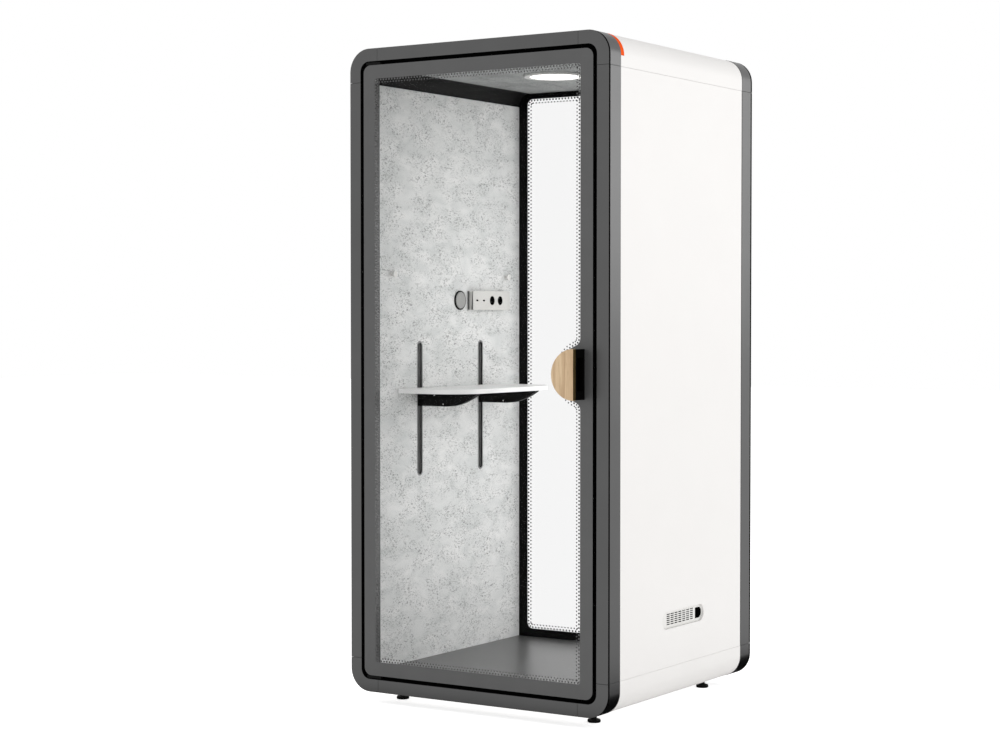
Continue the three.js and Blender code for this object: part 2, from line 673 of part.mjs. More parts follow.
function addVent() {
  const face = SIDE - PANEL_INSET - GRILLE_SETBACK;
  const back = face - GRILLE_THICKNESS;
  const openings = [prismX(inletOutline(), back - OVERCUT, face + OVERCUT)];
  for (let column = 0; column < SLOT_COLUMNS; column += 1) {
    for (let row = 0; row < SLOT_ROWS; row += 1) {
      const y = SLOT_FIRST + column * SLOT_PITCH;
      const z = VENT_LEVEL + SLOT_LIFT + (row - (SLOT_ROWS - 1) / 2) * SLOT_ROW_PITCH;
      openings.push(block(
        [back - OVERCUT, y - SLOT_LENGTH / 2, z - SLOT_WIDTH / 2],
        [face + OVERCUT, y + SLOT_LENGTH / 2, z + SLOT_WIDTH / 2],
      ));
    }
  }
  node('vent_grille', 'plastic', cut(prismX(ventOutline(FIT_GAP), back, face), ...openings));
}

// Fan behind the grille: built about the Z axis, then turned to blow along X
function addFan() {
  const half = FAN_SIZE / 2;
  const bore = half - FAN_WALL;
  const housing = cut(block([-half, -half, 0], [half, half, FAN_DEPTH]), rod(bore, -OVERCUT, FAN_DEPTH + OVERCUT));
  const struts = Array.from({ length: FAN_STRUTS }, (_, i) => (
    block([0, -FAN_STRUT_WIDTH / 2, 0], [half - FAN_WALL / 2, FAN_STRUT_WIDTH / 2, FAN_SPIDER])
      .rotateZ((i * 2 * Math.PI) / FAN_STRUTS)
  ));
  const spider = joined(housing, rod(FAN_HUB_RADIUS, 0, FAN_SPIDER), ...struts);
  const shaftHole = rod(SHAFT_RADIUS + FIT_GAP, -OVERCUT, FAN_SPIDER + OVERCUT);
  const blades = Array.from({ length: FAN_BLADES }, (_, i) => {
    const root = FAN_HUB_RADIUS - BLADE_THICKNESS;
    const tip = bore - FAN_TIP_GAP;
    return new THREE.BoxGeometry(tip - root, BLADE_THICKNESS, BLADE_CHORD)
      .rotateX(BLADE_PITCH)
      .translate((tip + root) / 2, 0, FAN_SPIDER + ROTOR_LENGTH / 2)
      .rotateZ((i * 2 * Math.PI) / FAN_BLADES);
  });
  const hub = rod(FAN_HUB_RADIUS, FAN_SPIDER + FIT_GAP, FAN_SPIDER + ROTOR_LENGTH);
  const shaft = rod(SHAFT_RADIUS, FIT_GAP, FAN_SPIDER + ROTOR_LENGTH / 2);
  const place = [WALL_BACK - FAN_DEPTH, FAN_CENTRE, VENT_LEVEL];
  node('fan_housing', 'black', cut(spider, shaftHole), place).rotation.y = QUARTER;
  node('fan_rotor', 'black', joined(hub, shaft, ...blades), place).rotation.y = QUARTER;
}

// Levelling feet under the base panel
function footPlaces() {
  const x = SIDE - FOOT_SIDE_INSET;
  const y = REAR - FOOT_END_INSET;
  return [['front_left', -x, -y], ['front_right', x, -y], ['rear_left', -x, y], ['rear_right', x, y]];
}

function addFeet() {
  const padTop = -FOOT_CLEARANCE + FOOT_PAD_HEIGHT;
  const stemTop = PANEL_INSET - FIT_GAP;
  const foot = turned([
    [0, -FOOT_CLEARANCE],
    [FOOT_PAD_RADIUS, -FOOT_CLEARANCE],
    [FOOT_PAD_RADIUS, padTop],
    [FOOT_STEM_RADIUS, padTop],
    [FOOT_STEM_RADIUS, stemTop],
    [FOOT_STUD_RADIUS, stemTop],
    [FOOT_STUD_RADIUS, stemTop + FOOT_STUD_LENGTH],
    [0, stemTop + FOOT_STUD_LENGTH],
  ]);
  for (const [name, x, y] of footPlaces()) node(`foot_${name}`, 'black', foot.clone(), [x, y, 0]);
}

addFrontPortal();
addRearPortal();
addOuterPanels();
addLining();
addRearGlass();
addDoor();
addHandle();
addDesk();
addWallFittings();
addLamp();
addVent();
addFan();
addFeet();

export default pod;
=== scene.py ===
"""Looks of an acoustic office pod: finishes, printed glass borders, fittings, studio light and camera."""

import json
import logging
import math
from collections.abc import Callable, Iterator, Sequence
from contextlib import contextmanager
from dataclasses import dataclass, field
from enum import Enum
from typing import ClassVar

import bmesh
import bpy
from mathutils import Matrix, Vector


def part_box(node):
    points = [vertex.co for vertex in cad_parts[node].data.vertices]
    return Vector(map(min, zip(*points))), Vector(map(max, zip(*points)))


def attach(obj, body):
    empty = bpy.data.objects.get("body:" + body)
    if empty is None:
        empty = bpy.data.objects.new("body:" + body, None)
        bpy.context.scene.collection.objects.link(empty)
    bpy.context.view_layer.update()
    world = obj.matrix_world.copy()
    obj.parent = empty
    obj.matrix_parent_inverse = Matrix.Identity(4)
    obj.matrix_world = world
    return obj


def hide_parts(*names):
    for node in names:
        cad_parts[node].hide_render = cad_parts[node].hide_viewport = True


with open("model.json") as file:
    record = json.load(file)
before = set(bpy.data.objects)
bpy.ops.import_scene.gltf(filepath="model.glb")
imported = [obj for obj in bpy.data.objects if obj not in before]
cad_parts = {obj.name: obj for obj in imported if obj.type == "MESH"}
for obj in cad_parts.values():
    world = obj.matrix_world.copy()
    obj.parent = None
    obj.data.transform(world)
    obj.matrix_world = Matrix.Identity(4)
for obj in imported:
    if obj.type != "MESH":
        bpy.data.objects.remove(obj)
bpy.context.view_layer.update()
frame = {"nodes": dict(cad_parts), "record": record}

MM = 0.001
WHITE = "#FFFFFF"
LOG = logging.getLogger("pod")

Point2 = tuple[float, float]
Point3 = tuple[float, float, float]
Outline = list[Point2]
Picker = Callable[[Vector, Vector], int]
Tree, Node, Socket = bpy.types.NodeTree, bpy.types.Node, bpy.types.NodeSocket
Material, Mesh, Object = bpy.types.Material, bpy.types.Mesh, bpy.types.Object
BODY_OF = {name: body for body, names in frame["record"]["behaviour"]["bodies"].items() for name in names}
SLOT_OF = {row["node"]: row["material_slot"] for row in frame["record"]["subparts"]}


class Facing(Enum):
    """The way a flat piece faces, as the world axes of its across, up and depth."""

    X = (1, 2, 0)
    Y = (0, 2, 1)

    def matrix(self) -> Matrix:
        """The turn from the flat drawing to the pod's axes.

        Returns:
            The turn as a matrix.
        """
        turn = Matrix.Diagonal((0, 0, 0, 1))
        for column, row in enumerate(self.value):
            turn[row][column] = 1
        return turn


def linear(colour: str) -> tuple[float, float, float, float]:
    """Turns an sRGB hex colour into linear light by the standard's own curve.

    Args:
        colour: Six hex digits after a hash.

    Returns:
        Red, green, blue and an alpha of one.
    """
    values = [int(colour[i:i + 2], 16) / 255 for i in (1, 3, 5)]
    light = [v / 12.92 if v <= 0.04045 else ((v + 0.055) / 1.055) ** 2.4 for v in values]
    return (*light, 1.0)


def per_mm(size: float) -> float:
    """The scale at which a texture's features are about this many millimetres wide."""
    return 1 / (size * MM)


def set_inputs(tree: Tree, node: Node, inputs: dict) -> None:
    """Gives a node's inputs their values and links.

    Args:
        tree: The node's tree.
        node: The node.
        inputs: By name or number, a value, a socket, or a node that stands for its first output in use.
    """
    for key, value in inputs.items():
        if isinstance(value, Node):
            value = next(output for output in value.outputs if output.enabled)
        if isinstance(value, Socket):
            tree.links.new(value, node.inputs[key])
        else:
            node.inputs[key].default_value = value


def add_node(tree: Tree, kind: str, inputs: dict | None = None, **settings) -> Node:
    """Adds a node with its settings, values and links.

    Args:
        tree: The node tree that gets it.
        kind: Blender's name of the node's type.
        inputs: What its inputs get, as in set_inputs.
        settings: Properties of the node itself.

    Returns:
        The new node.
    """
    node = tree.nodes.new(kind)
    for key, value in settings.items():
        setattr(node, key, value)
    set_inputs(tree, node, inputs or {})
    return node


@dataclass(frozen=True)
class Finish:
    """A material with a fine moulded or sprayed grain: what most plain plastics and paints show.

    Sizes are in millimetres. The grain is drawn coarser than the real one, so that a close view shows it.
    """

    name: str
    colour: str
    roughness: float
    metallic: float = 0.0
    ior: float = 1.5
    grain: float = 1.2
    relief: float = 0.02
    tone: str = ""
    patch: float = 80.0
    specular: float = 0.5
    patch_range: ClassVar[Point2] = (0.35, 0.65)
    gloss_spread: ClassVar[float] = 0.05
    bump_strength: ClassVar[float] = 0.6

    def material(self) -> Material:
        """The material, made on its first use."""
        return bpy.data.materials.get(self.name) or self.made()

    def made(self) -> Material:
        """Builds the material's nodes.

        Returns:
            The new material.
        """
        material = bpy.data.materials.new(self.name)
        material.use_nodes = True
        tree = material.node_tree
        shader = tree.nodes["Principled BSDF"]
        set_inputs(tree, shader, {
            "Base Color": linear(self.colour), "Roughness": self.roughness, "Metallic": self.metallic,
            "IOR": self.ior, "Specular IOR Level": self.specular})
        self.dress(tree, shader, add_node(tree, "ShaderNodeTexCoord").outputs["Object"])
        return material

    def dress(self, tree: Tree, shader: Node, place: Socket) -> None:
        """Adds the pattern: soft patches of a second tone and a fine grain that also varies the gloss.

        Args:
            tree: The material's nodes.
            shader: Its Principled shader.
            place: Object coordinates.
        """
        grain, patches = (
            add_node(tree, "ShaderNodeTexNoise", {"Vector": place, "Scale": per_mm(size), "Detail": detail})
            for size, detail in ((self.grain, 3.0), (self.patch, 4.0)))
        low, high = self.patch_range
        share = add_node(tree, "ShaderNodeMapRange", {0: patches, 1: low, 2: high})
        first, second = linear(self.colour), linear(self.tone or self.colour)
        colour = add_node(tree, "ShaderNodeMix", {0: share, 6: first, 7: second}, data_type="RGBA")
        gloss = add_node(tree, "ShaderNodeMapRange", {0: grain, 3: self.roughness - self.gloss_spread,
                                                      4: self.roughness + self.gloss_spread})
        set_inputs(tree, shader, {"Base Color": colour, "Roughness": gloss})
        self.emboss(tree, shader, grain)

    def emboss(self, tree: Tree, shader: Node, height: Node) -> None:
        """Raises the surface by the finish's relief.

        Args:
            tree: The material's nodes.
            shader: Its Principled shader.
            height: The pattern that is raised.
        """
        bump = add_node(tree, "ShaderNodeBump", {"Strength": self.bump_strength, "Distance": self.relief * MM,
                                                 "Height": height})
        set_inputs(tree, shader, {"Normal": bump})


@dataclass(frozen=True)
class FeltFinish(Finish):
    """Needle-punched felt: pale fibres with clusters of dark flecks and a soft matted relief."""

    fleck: str = "#626363"
    fleck_size: float = 4.8
    cluster: float = 50.0
    flecks: float = 0.66
    lay: float = 0.5
    fleck_range: ClassVar[Point2] = (0.55, 0.64)
    cluster_range: ClassVar[Point2] = (0.36, 0.56)
    cloud_range: ClassVar[Point2] = (0.3, 0.7)
    sheen: ClassVar[float] = 0.15

    def dress(self, tree: Tree, shader: Node, place: Socket) -> None:
        """Adds clouds of a second tone, flecks gathered in clusters, and fibres, all drawn out along Y.

        Args:
            tree: The material's nodes.
            shader: Its Principled shader.
            place: Object coordinates.
        """
        along = add_node(tree, "ShaderNodeMapping", {"Vector": place, "Scale": (1, self.lay, 1)})
        clouds, clumps, specks, fibres = (
            add_node(tree, "ShaderNodeTexNoise", {"Vector": along, "Scale": per_mm(size), "Detail": detail,
                                                  "Distortion": bend})
            for size, detail, bend in ((self.patch, 9.0, 0.8), (self.cluster, 3.0, 0.0),
                                       (self.fleck_size, 1.0, 1.2), (self.grain, 4.0, 0.8)))
        cloud, inside, sharp = (
            add_node(tree, "ShaderNodeMapRange", {0: pattern, 1: low, 2: high})
            for pattern, (low, high) in ((clouds, self.cloud_range), (clumps, self.cluster_range),
                                         (specks, self.fleck_range)))
        gathered = add_node(tree, "ShaderNodeMath", {0: sharp, 1: inside}, operation="MULTIPLY")
        dark = add_node(tree, "ShaderNodeMath", {0: gathered, 1: self.flecks}, operation="MULTIPLY")
        pale = add_node(tree, "ShaderNodeMix", {0: cloud, 6: linear(self.colour), 7: linear(self.tone)},
                        data_type="RGBA")
        colour = add_node(tree, "ShaderNodeMix", {0: dark, 6: pale, 7: linear(self.fleck)}, data_type="RGBA")
        set_inputs(tree, shader, {"Base Color": colour, "Sheen Weight": self.sheen})
        self.emboss(tree, shader, fibres)


@dataclass(frozen=True)
class WoodFinish(Finish):
    """Oiled solid oak cut with its grain upright: fine pores along the grain and broad growth bands."""

    band: float = 16.0
    pore: float = 1.6
    stretch: float = 0.07
    pore_colour: ClassVar[str] = "#8F7350"
    pore_range: ClassVar[Point2] = (0.55, 0.8)
    pore_share: ClassVar[float] = 0.45

    def dress(self, tree: Tree, shader: Node, place: Socket) -> None:
        """Adds growth bands and pores, both drawn out along Z.

        Args:
            tree: The material's nodes.
            shader: Its Principled shader.
            place: Object coordinates.
        """
        along = add_node(tree, "ShaderNodeMapping", {"Vector": place, "Scale": (1, 1, self.stretch)})
        bands, pores = (
            add_node(tree, "ShaderNodeTexNoise", {"Vector": along, "Scale": per_mm(size), "Detail": 3.0,
                                                  "Distortion": bend})
            for size, bend in ((self.band, 0.6), (self.pore, 0.0)))
        band, thin = (
            add_node(tree, "ShaderNodeMapRange", {0: pattern, 1: low, 2: high})
            for pattern, (low, high) in ((bands, self.patch_range), (pores, self.pore_range)))
        faint = add_node(tree, "ShaderNodeMath", {0: thin, 1: self.pore_share}, operation="MULTIPLY")
        growth = add_node(tree, "ShaderNodeMix", {0: band, 6: linear(self.colour), 7: linear(self.tone)},
                          data_type="RGBA")
        colour = add_node(tree, "ShaderNodeMix", {0: faint, 6: growth, 7: linear(self.pore_colour)},
                          data_type="RGBA")
        set_inputs(tree, shader, {"Base Color": colour})
        self.emboss(tree, shader, pores)


@dataclass(frozen=True)
class GlassFinish(Finish):
    """Float glass with a coating that hardly reflects. Its shadow is left open, so that daylight gets in."""

    def dress(self, tree: Tree, shader: Node, place: Socket) -> None:
        """Makes the shader clear, with a faint waviness, and lets shadow rays through.

        Args:
            tree: The material's nodes.
            shader: Its Principled shader.
            place: Object coordinates.
        """
        set_inputs(tree, shader, {"Transmission Weight": 1.0})
        self.emboss(tree, shader, add_node(tree, "ShaderNodeTexNoise", {
            "Vector": place, "Scale": per_mm(self.patch), "Detail": 1.0}))
        clear = add_node(tree, "ShaderNodeBsdfTransparent")
        shadow = add_node(tree, "ShaderNodeLightPath").outputs["Is Shadow Ray"]
        both = add_node(tree, "ShaderNodeMixShader", {0: shadow, 1: shader, 2: clear})
        set_inputs(tree, tree.nodes["Material Output"], {"Surface": both})


@dataclass(frozen=True)
class GlowFinish(Finish):
    """Opal diffuser lit from behind, an even white."""

    glow: str = "#FFFDF8"
    strength: float = 3.5

    def dress(self, tree: Tree, shader: Node, place: Socket) -> None:
        """Adds the glow."""
        super().dress(tree, shader, place)
        set_inputs(tree, shader, {"Emission Color": linear(self.glow), "Emission Strength": self.strength})


@dataclass(frozen=True)
class RailFinish(Finish):
    """Anodised aluminium rail with a black lip along both sides of its slot's mouth."""

    lip: str = "#060606"
    mouth: float = 0.5
    lip_end: float = 6.0

    def dress(self, tree: Tree, shader: Node, place: Socket) -> None:
        """Adds the lip between two depths below the wall's face.

        Args:
            tree: The material's nodes.
            shader: Its Principled shader.
            place: Object coordinates.
        """
        super().dress(tree, shader, place)
        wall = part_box("desk_rail_front")[1].x
        across = add_node(tree, "ShaderNodeSeparateXYZ", {0: place}).outputs["X"]
        depth = add_node(tree, "ShaderNodeMath", {0: wall, 1: across}, operation="SUBTRACT")
        below = add_node(tree, "ShaderNodeMath", {0: depth, 1: self.mouth * MM}, operation="GREATER_THAN")
        above = add_node(tree, "ShaderNodeMath", {0: depth, 1: self.lip_end * MM}, operation="LESS_THAN")
        lip = add_node(tree, "ShaderNodeMath", {0: below, 1: above}, operation="MULTIPLY")
        metal = shader.inputs["Base Color"].links[0].from_socket
        colour = add_node(tree, "ShaderNodeMix", {0: lip, 6: metal, 7: linear(self.lip)}, data_type="RGBA")
        set_inputs(tree, shader, {"Base Color": colour})


# Steel, powder-coated with a fine metallic flake: a satin sheen that pales at a low angle to the light.
FRAME_PAINT = Finish("satin_metallic_coat", "#5F5F5F", 0.34, metallic=1.0, grain=1.6, relief=0.01,
                     tone="#5D5D5D", patch=140)
# Board with a pressed white laminate: even and smooth, with a soft sheen and hardly any grain.
PANEL_WHITE = Finish("satin_white_laminate", "#E5E3E1", 0.45, grain=1.4, relief=0.015, tone="#E4E2E0",
                     patch=200)
# Aluminium strip, stove-painted: one flat strong colour with little shine.
ACCENT = Finish("orange_painted_aluminium", "#EE560A", 0.6, relief=0.015, tone="#E85208", specular=0.05)
# Recycled polyester fibre, needled and pressed: matt, with loose clumps of dark fibres in pale ones.
FELT = FeltFinish("grey_needle_felt", "#EAEAE9", 0.95, grain=1.4, relief=0.2, tone="#D2D4D3", patch=60,
                  specular=0.2)
# The same felt made darker as painted shade, since the ceiling faces down; streaked along the pressing.
CEILING = FeltFinish("ceiling_felt_painted_shade", "#9C9E9D", 0.95, grain=1.4, relief=0.25, tone="#7E807F",
                     specular=0.2, flecks=0.8, fleck="#555756")
# Calendered vinyl: dark and smooth, so that the window lies on it as a soft pale pool.
FLOORING = Finish("smooth_grey_flooring", "#545454", 0.32, grain=2.2, relief=0.02, tone="#4F4F4F", patch=30,
                  specular=0.6)
# ABS moulded in a finely etched tool: a dull, even black.
BLACK = Finish("black_moulded_abs", "#0A0A0A", 0.5, grain=0.9, tone="#0C0C0C", specular=0.14)
# Steel, powder-coated: a matt black with a faint orange-peel ripple.
BLACK_METAL = Finish("black_powder_coat", "#0A0A0A", 0.55, grain=1.3, relief=0.03, tone="#0C0C0C",
                     specular=0.1)
# EPDM, extruded: a deep black that shows no highlight. The same black is also painted shade in the frames'
# shadow line and rebates, the vent's slots and back, and the cup behind the cable inlet.
RUBBER_AND_SHADE_BLACK = Finish("black_epdm_rubber_and_painted_shade", "#020202", 0.9, grain=1.0, tone="#030303", specular=0.05)
# ABS moulded in a satin tool: pale grey with a weak, wide highlight.
GREY_PLASTIC = Finish("pale_grey_moulded_abs", "#CDCCC8", 0.42, grain=1.0, tone="#C9C8C4")
# ABS moulded in a satin tool, off-white, close to the panel round it.
VENT_GREY = Finish("off_white_moulded_abs", "#E2E1DE", 0.45, grain=1.0, tone="#DEDDDA")
# ABS moulded in a satin tool, mid grey.
DIAL_GREY = Finish("grey_moulded_abs", "#A0A09E", 0.5, grain=1.0, tone="#9A9A98")
# Painted shade: the socket box's grey made darker and duller, laid on its front end where its gaps fall in
# shade.
SHADE_GREY = Finish("painted_shade_grey_abs", "#6A6A69", 0.6, grain=1.0, tone="#666665", specular=0.2)
# Aluminium, extruded and anodised: dull silver, with a black lip at the slot's mouth.
RAIL = RailFinish("anodised_aluminium", "#8A8A8A", 0.45, grain=0.8, relief=0.01, tone="#828282", specular=0.3)
# Pressed white laminate on the desk: bright, with a wide soft highlight.
LAMINATE = Finish("white_desk_laminate", "#F2F2F1", 0.4, grain=1.2, relief=0.012, tone="#EEEEED")
# Birch plywood, sanded: warm and matt with a straight grain.
PLYWOOD = WoodFinish("birch_plywood", "#C9A878", 0.7, relief=0.05, tone="#B8956A")
# Painted shade: oak made dark on the handle's straight cut; the grain only just shows.
OAK_SHADED_CUT = WoodFinish("oak_cut_painted_shade", "#3C3016", 0.6, relief=0.06, tone="#33290F", specular=0.1)
# Oak, planed and oiled: upright pale and darker bands under a low sheen.
OAK = WoodFinish("oiled_oak", "#CDB492", 0.5, relief=0.06, tone="#B09373", specular=0.3)
# ABS with a matt texture: a black without highlights.
HANDLE_BLACK = Finish("matt_black_abs", "#020202", 0.7, grain=0.9, tone="#030303", specular=0.05)
# Grey enamel printed and fired on the glass, matched to the frame beside it.
DOOR_FRIT = Finish("grey_printed_ceramic", "#5F5F5F", 0.5, metallic=0.6, grain=0.8, relief=0.003,
                   tone="#5D5D5D", specular=0.3)
# Black enamel printed and fired on the glass: flat and dull.
REAR_FRIT = Finish("black_printed_ceramic", "#060606", 0.5, grain=0.8, relief=0.005, tone="#080808",
                   specular=0.08)
# Float glass with an anti-reflective coating, hence the low IOR: clear, with hardly a mirror image.
GLASS = GlassFinish("coated_float_glass", "#FAFAFA", 0.0, ior=1.06, relief=0.002, patch=400)
# Aluminium ring, painted grey: a dull edge round the light.
LAMP_RIM = Finish("grey_lamp_ring", "#D2D2D0", 0.5, tone="#CDCDCB", specular=0.2)
# Acrylic, opal: an even white glow without a visible lamp behind it.
LAMP_GLOW = GlowFinish("opal_diffuser", "#F4F4F2", 0.5, tone="#F0F0EE", specular=0.2)
# Steel screws, zinc-plated: small bright points.
STEEL = Finish("zinc_plated_steel", "#D8D8D8", 0.3, metallic=1.0, grain=0.6, relief=0.01, tone="#CCCCCC")


def arc(centre: Point2, radius: float, start: float, end: float, steps: int) -> Outline:
    """Points along an arc, its angles in degrees, both ends included."""
    turns = [math.radians(start + (end - start) * i / steps) for i in range(steps + 1)]
    return [(centre[0] + radius * math.cos(t), centre[1] + radius * math.sin(t)) for t in turns]


def rounded_rect(low: Point2, high: Point2, radius: float, steps: int = 10) -> Outline:
    """A rectangle with round corners, counter-clockwise from its lower right corner.

    Args:
        low: Its lower left corner.
        high: Its upper right corner.
        radius: The radius of its corners.
        steps: The straight steps in each corner.

    Returns:
        The outline's points.
    """
    left, bottom = low[0] + radius, low[1] + radius
    right, top = high[0] - radius, high[1] - radius
    points: Outline = []
    for turn, centre in enumerate(((right, bottom), (right, top), (left, top), (left, bottom))):
        points += arc(centre, radius, 90 * turn - 90, 90 * turn, steps)
    return points


def in_scene(name: str, data: bpy.types.ID) -> Object:
    """Puts an object at the origin of the scene.

    Args:
        name: The object's name.
        data: Its mesh, curve, lamp or camera.

    Returns:
        The object.
    """
    made = bpy.data.objects.new(name, data)
    bpy.context.scene.collection.objects.link(made)
    return made


def made_plain(source: Object) -> Object:
    """Turns an object and its modifiers into a plain mesh object of the same name.

    Args:
        source: The object, which is removed.

    Returns:
        The plain object.
    """
    bpy.context.view_layer.update()
    graph = bpy.context.evaluated_depsgraph_get()
    mesh = bpy.data.meshes.new_from_object(source.evaluated_get(graph), depsgraph=graph)
    name = source.name
    bpy.data.objects.remove(source)
    mesh.name = name
    return in_scene(name, mesh)


def smoothed(source: Object, edge: float, steps: int = 2, crease: float = 28, sharp: float = 50) -> Object:
    """Rounds the sharp edges of an object and shades it smooth, with its flats kept flat.

    Args:
        source: The object, with a closed mesh.
        edge: The width of the rounding in millimetres, or none.
        steps: The steps across each rounding.
        crease: The angle in degrees above which an edge is rounded.
        sharp: The angle above which an edge stays sharp in the shading.

    Returns:
        The finished plain object.
    """
    if edge:
        bevel = source.modifiers.new("edge", "BEVEL")
        bevel.width = edge * MM
        bevel.segments = steps
        bevel.limit_method = "ANGLE"
        bevel.angle_limit = math.radians(crease)
    plain = made_plain(source)
    plain.data.shade_smooth()
    plain.data.set_sharp_from_angle(angle=math.radians(sharp))
    plain.modifiers.new("flats", "WEIGHTED_NORMAL").keep_sharp = True
    return made_plain(plain)


def with_materials(target: Object, finishes: Sequence[Finish], pick: Picker | None = None) -> Object:
    """Gives an object its finishes.

    Args:
        target: The object.
        finishes: Its finishes, in the order of its material slots.
        pick: Chooses a face's slot by the face's middle and its normal. Without it a face keeps its slot.

    Returns:
        The same object.
    """
    slots = [face.material_index for face in target.data.polygons]
    target.data.materials.clear()
    for finish in finishes:
        target.data.materials.append(finish.material())
    for face, slot in zip(target.data.polygons, slots):
        face.material_index = pick(face.center, face.normal) if pick else min(slot, len(finishes) - 1)
    return target


@contextmanager
def editing(mesh: Mesh) -> Iterator[bmesh.types.BMesh]:
    """Opens a mesh for editing and writes it back.

    Args:
        mesh: The mesh.

    Yields:
        The mesh in its editable form.
    """
    work = bmesh.new()
    work.from_mesh(mesh)
    yield work
    work.to_mesh(mesh)
    work.free()


def closed(mesh: Mesh, tolerance: float = 0.002 * MM) -> Mesh:
    """Merges a mesh's doubles and points its faces outwards.

    Args:
        mesh: The mesh.
        tolerance: How close two points count as one.

    Returns:
        The same mesh.
    """
    with editing(mesh) as work:
        bmesh.ops.remove_doubles(work, verts=work.verts, dist=tolerance)
        bmesh.ops.recalc_face_normals(work, faces=work.faces)
    return mesh


def looped(name: str, loops: Sequence[Sequence[Point3]]) -> bpy.types.Curve:
    """A curve of closed loops with straight steps.

    Args:
        name: The curve's name.
        loops: The points of each loop.

    Returns:
        The curve.
    """
    curve = bpy.data.curves.new(name, "CURVE")
    curve.dimensions = "3D"
    for loop in loops:
        spline = curve.splines.new("POLY")
        spline.points.add(len(loop) - 1)
        for point, place in zip(spline.points, loop):
            point.co = (*place, 1)
        spline.use_cyclic_u = True
    return curve


def plate(name: str, outlines: Sequence[Outline], facing: Facing, low: float, high: float) -> Object:
    """A flat piece with holes, drawn as a filled curve and made a mesh.

    Args:
        name: The object's name.
        outlines: Its outer outline and those of its holes, in metres.
        facing: The way it faces.
        low: Where its back lies along that axis.
        high: Where its face lies.

    Returns:
        The object.
    """
    curve = looped(name, [[(across, up, 0) for across, up in outline] for outline in outlines])
    curve.dimensions = "2D"
    curve.fill_mode = "BOTH"
    curve.extrude = (high - low) / 2
    drawn = made_plain(in_scene(name, curve))
    drawn.data.transform(facing.matrix() @ Matrix.Translation((0, 0, (low + high) / 2)))
    closed(drawn.data)
    return drawn


def lofted(name: str, rings: Sequence[Sequence[Vector]], slots: Sequence[int]) -> Object:
    """A closed body through rings of matching points.

    Args:
        name: The object's name.
        rings: The rings from one end to the other.
        slots: The material slot of each strip, in the order of the ring's points.

    Returns:
        The object.
    """
    mesh = bpy.data.meshes.new(name)
    with editing(mesh) as work:
        rows = [[work.verts.new(point) for point in ring] for ring in rings]
        for first, second in zip(rows, rows[1:]):
            for i, slot in enumerate(slots):
                j = (i + 1) % len(slots)
                work.faces.new((first[i], first[j], second[j], second[i])).material_index = slot
        for end in (rows[0], rows[-1]):
            work.faces.new(end)
        bmesh.ops.recalc_face_normals(work, faces=work.faces)
    return in_scene(name, mesh)


def turned(name: str, profile: Outline, centre: Vector, steps: int = 40) -> Object:
    """A body turned about an upright axis.

    Args:
        name: The object's name.
        profile: Radius and height pairs that start and end on the axis, in metres.
        centre: The axis' place.
        steps: The sides round it.

    Returns:
        The object.
    """
    mesh = bpy.data.meshes.new(name)
    with editing(mesh) as work:
        points = [work.verts.new(centre + Vector((radius, 0, height))) for radius, height in profile]
        edges = [work.edges.new(pair) for pair in zip(points, points[1:])]
        bmesh.ops.spin(work, geom=points + edges, cent=centre, axis=(0, 0, 1), angle=math.tau, steps=steps)
    return in_scene(name, closed(mesh))


class Scatter:
    """Geometry Nodes that repeat a small shape, with named inputs."""

    def __init__(self, name: str, inputs: dict[str, str]) -> None:
        """Starts the tree.

        Args:
            name: The tree's name.
            inputs: The kind of each input by its name, the geometry first, with a Material among them.
        """
        self.tree = bpy.data.node_groups.new(name, "GeometryNodeTree")
        add = self.tree.interface.new_socket
        self.sockets = {title: add(title, in_out="INPUT", socket_type=f"NodeSocket{kind}").identifier
                        for title, kind in inputs.items()}
        add("Result", in_out="OUTPUT", socket_type="NodeSocketGeometry")
        self.given = add_node(self.tree, "NodeGroupInput").outputs

    def end(self, instances: Node) -> None:
        """Makes the instances real, gives them their material and ends the tree.

        Args:
            instances: The node that gives them.
        """
        real = add_node(self.tree, "GeometryNodeRealizeInstances", {0: instances})
        coated = add_node(self.tree, "GeometryNodeSetMaterial", {0: real, "Material": self.given["Material"]})
        add_node(self.tree, "NodeGroupOutput", {0: coated})

    def applied(self, base: Object, values: dict[str, object]) -> Object:
        """Runs the tree on an object.

        Args:
            base: The object that gives the geometry, which is removed.
            values: The other inputs by name.

        Returns:
            The result as a plain mesh.
        """
        modifier = base.modifiers.new(self.tree.name, "NODES")
        modifier.node_group = self.tree
        for title, value in values.items():
            modifier[self.sockets[title]] = value
        return made_plain(base)


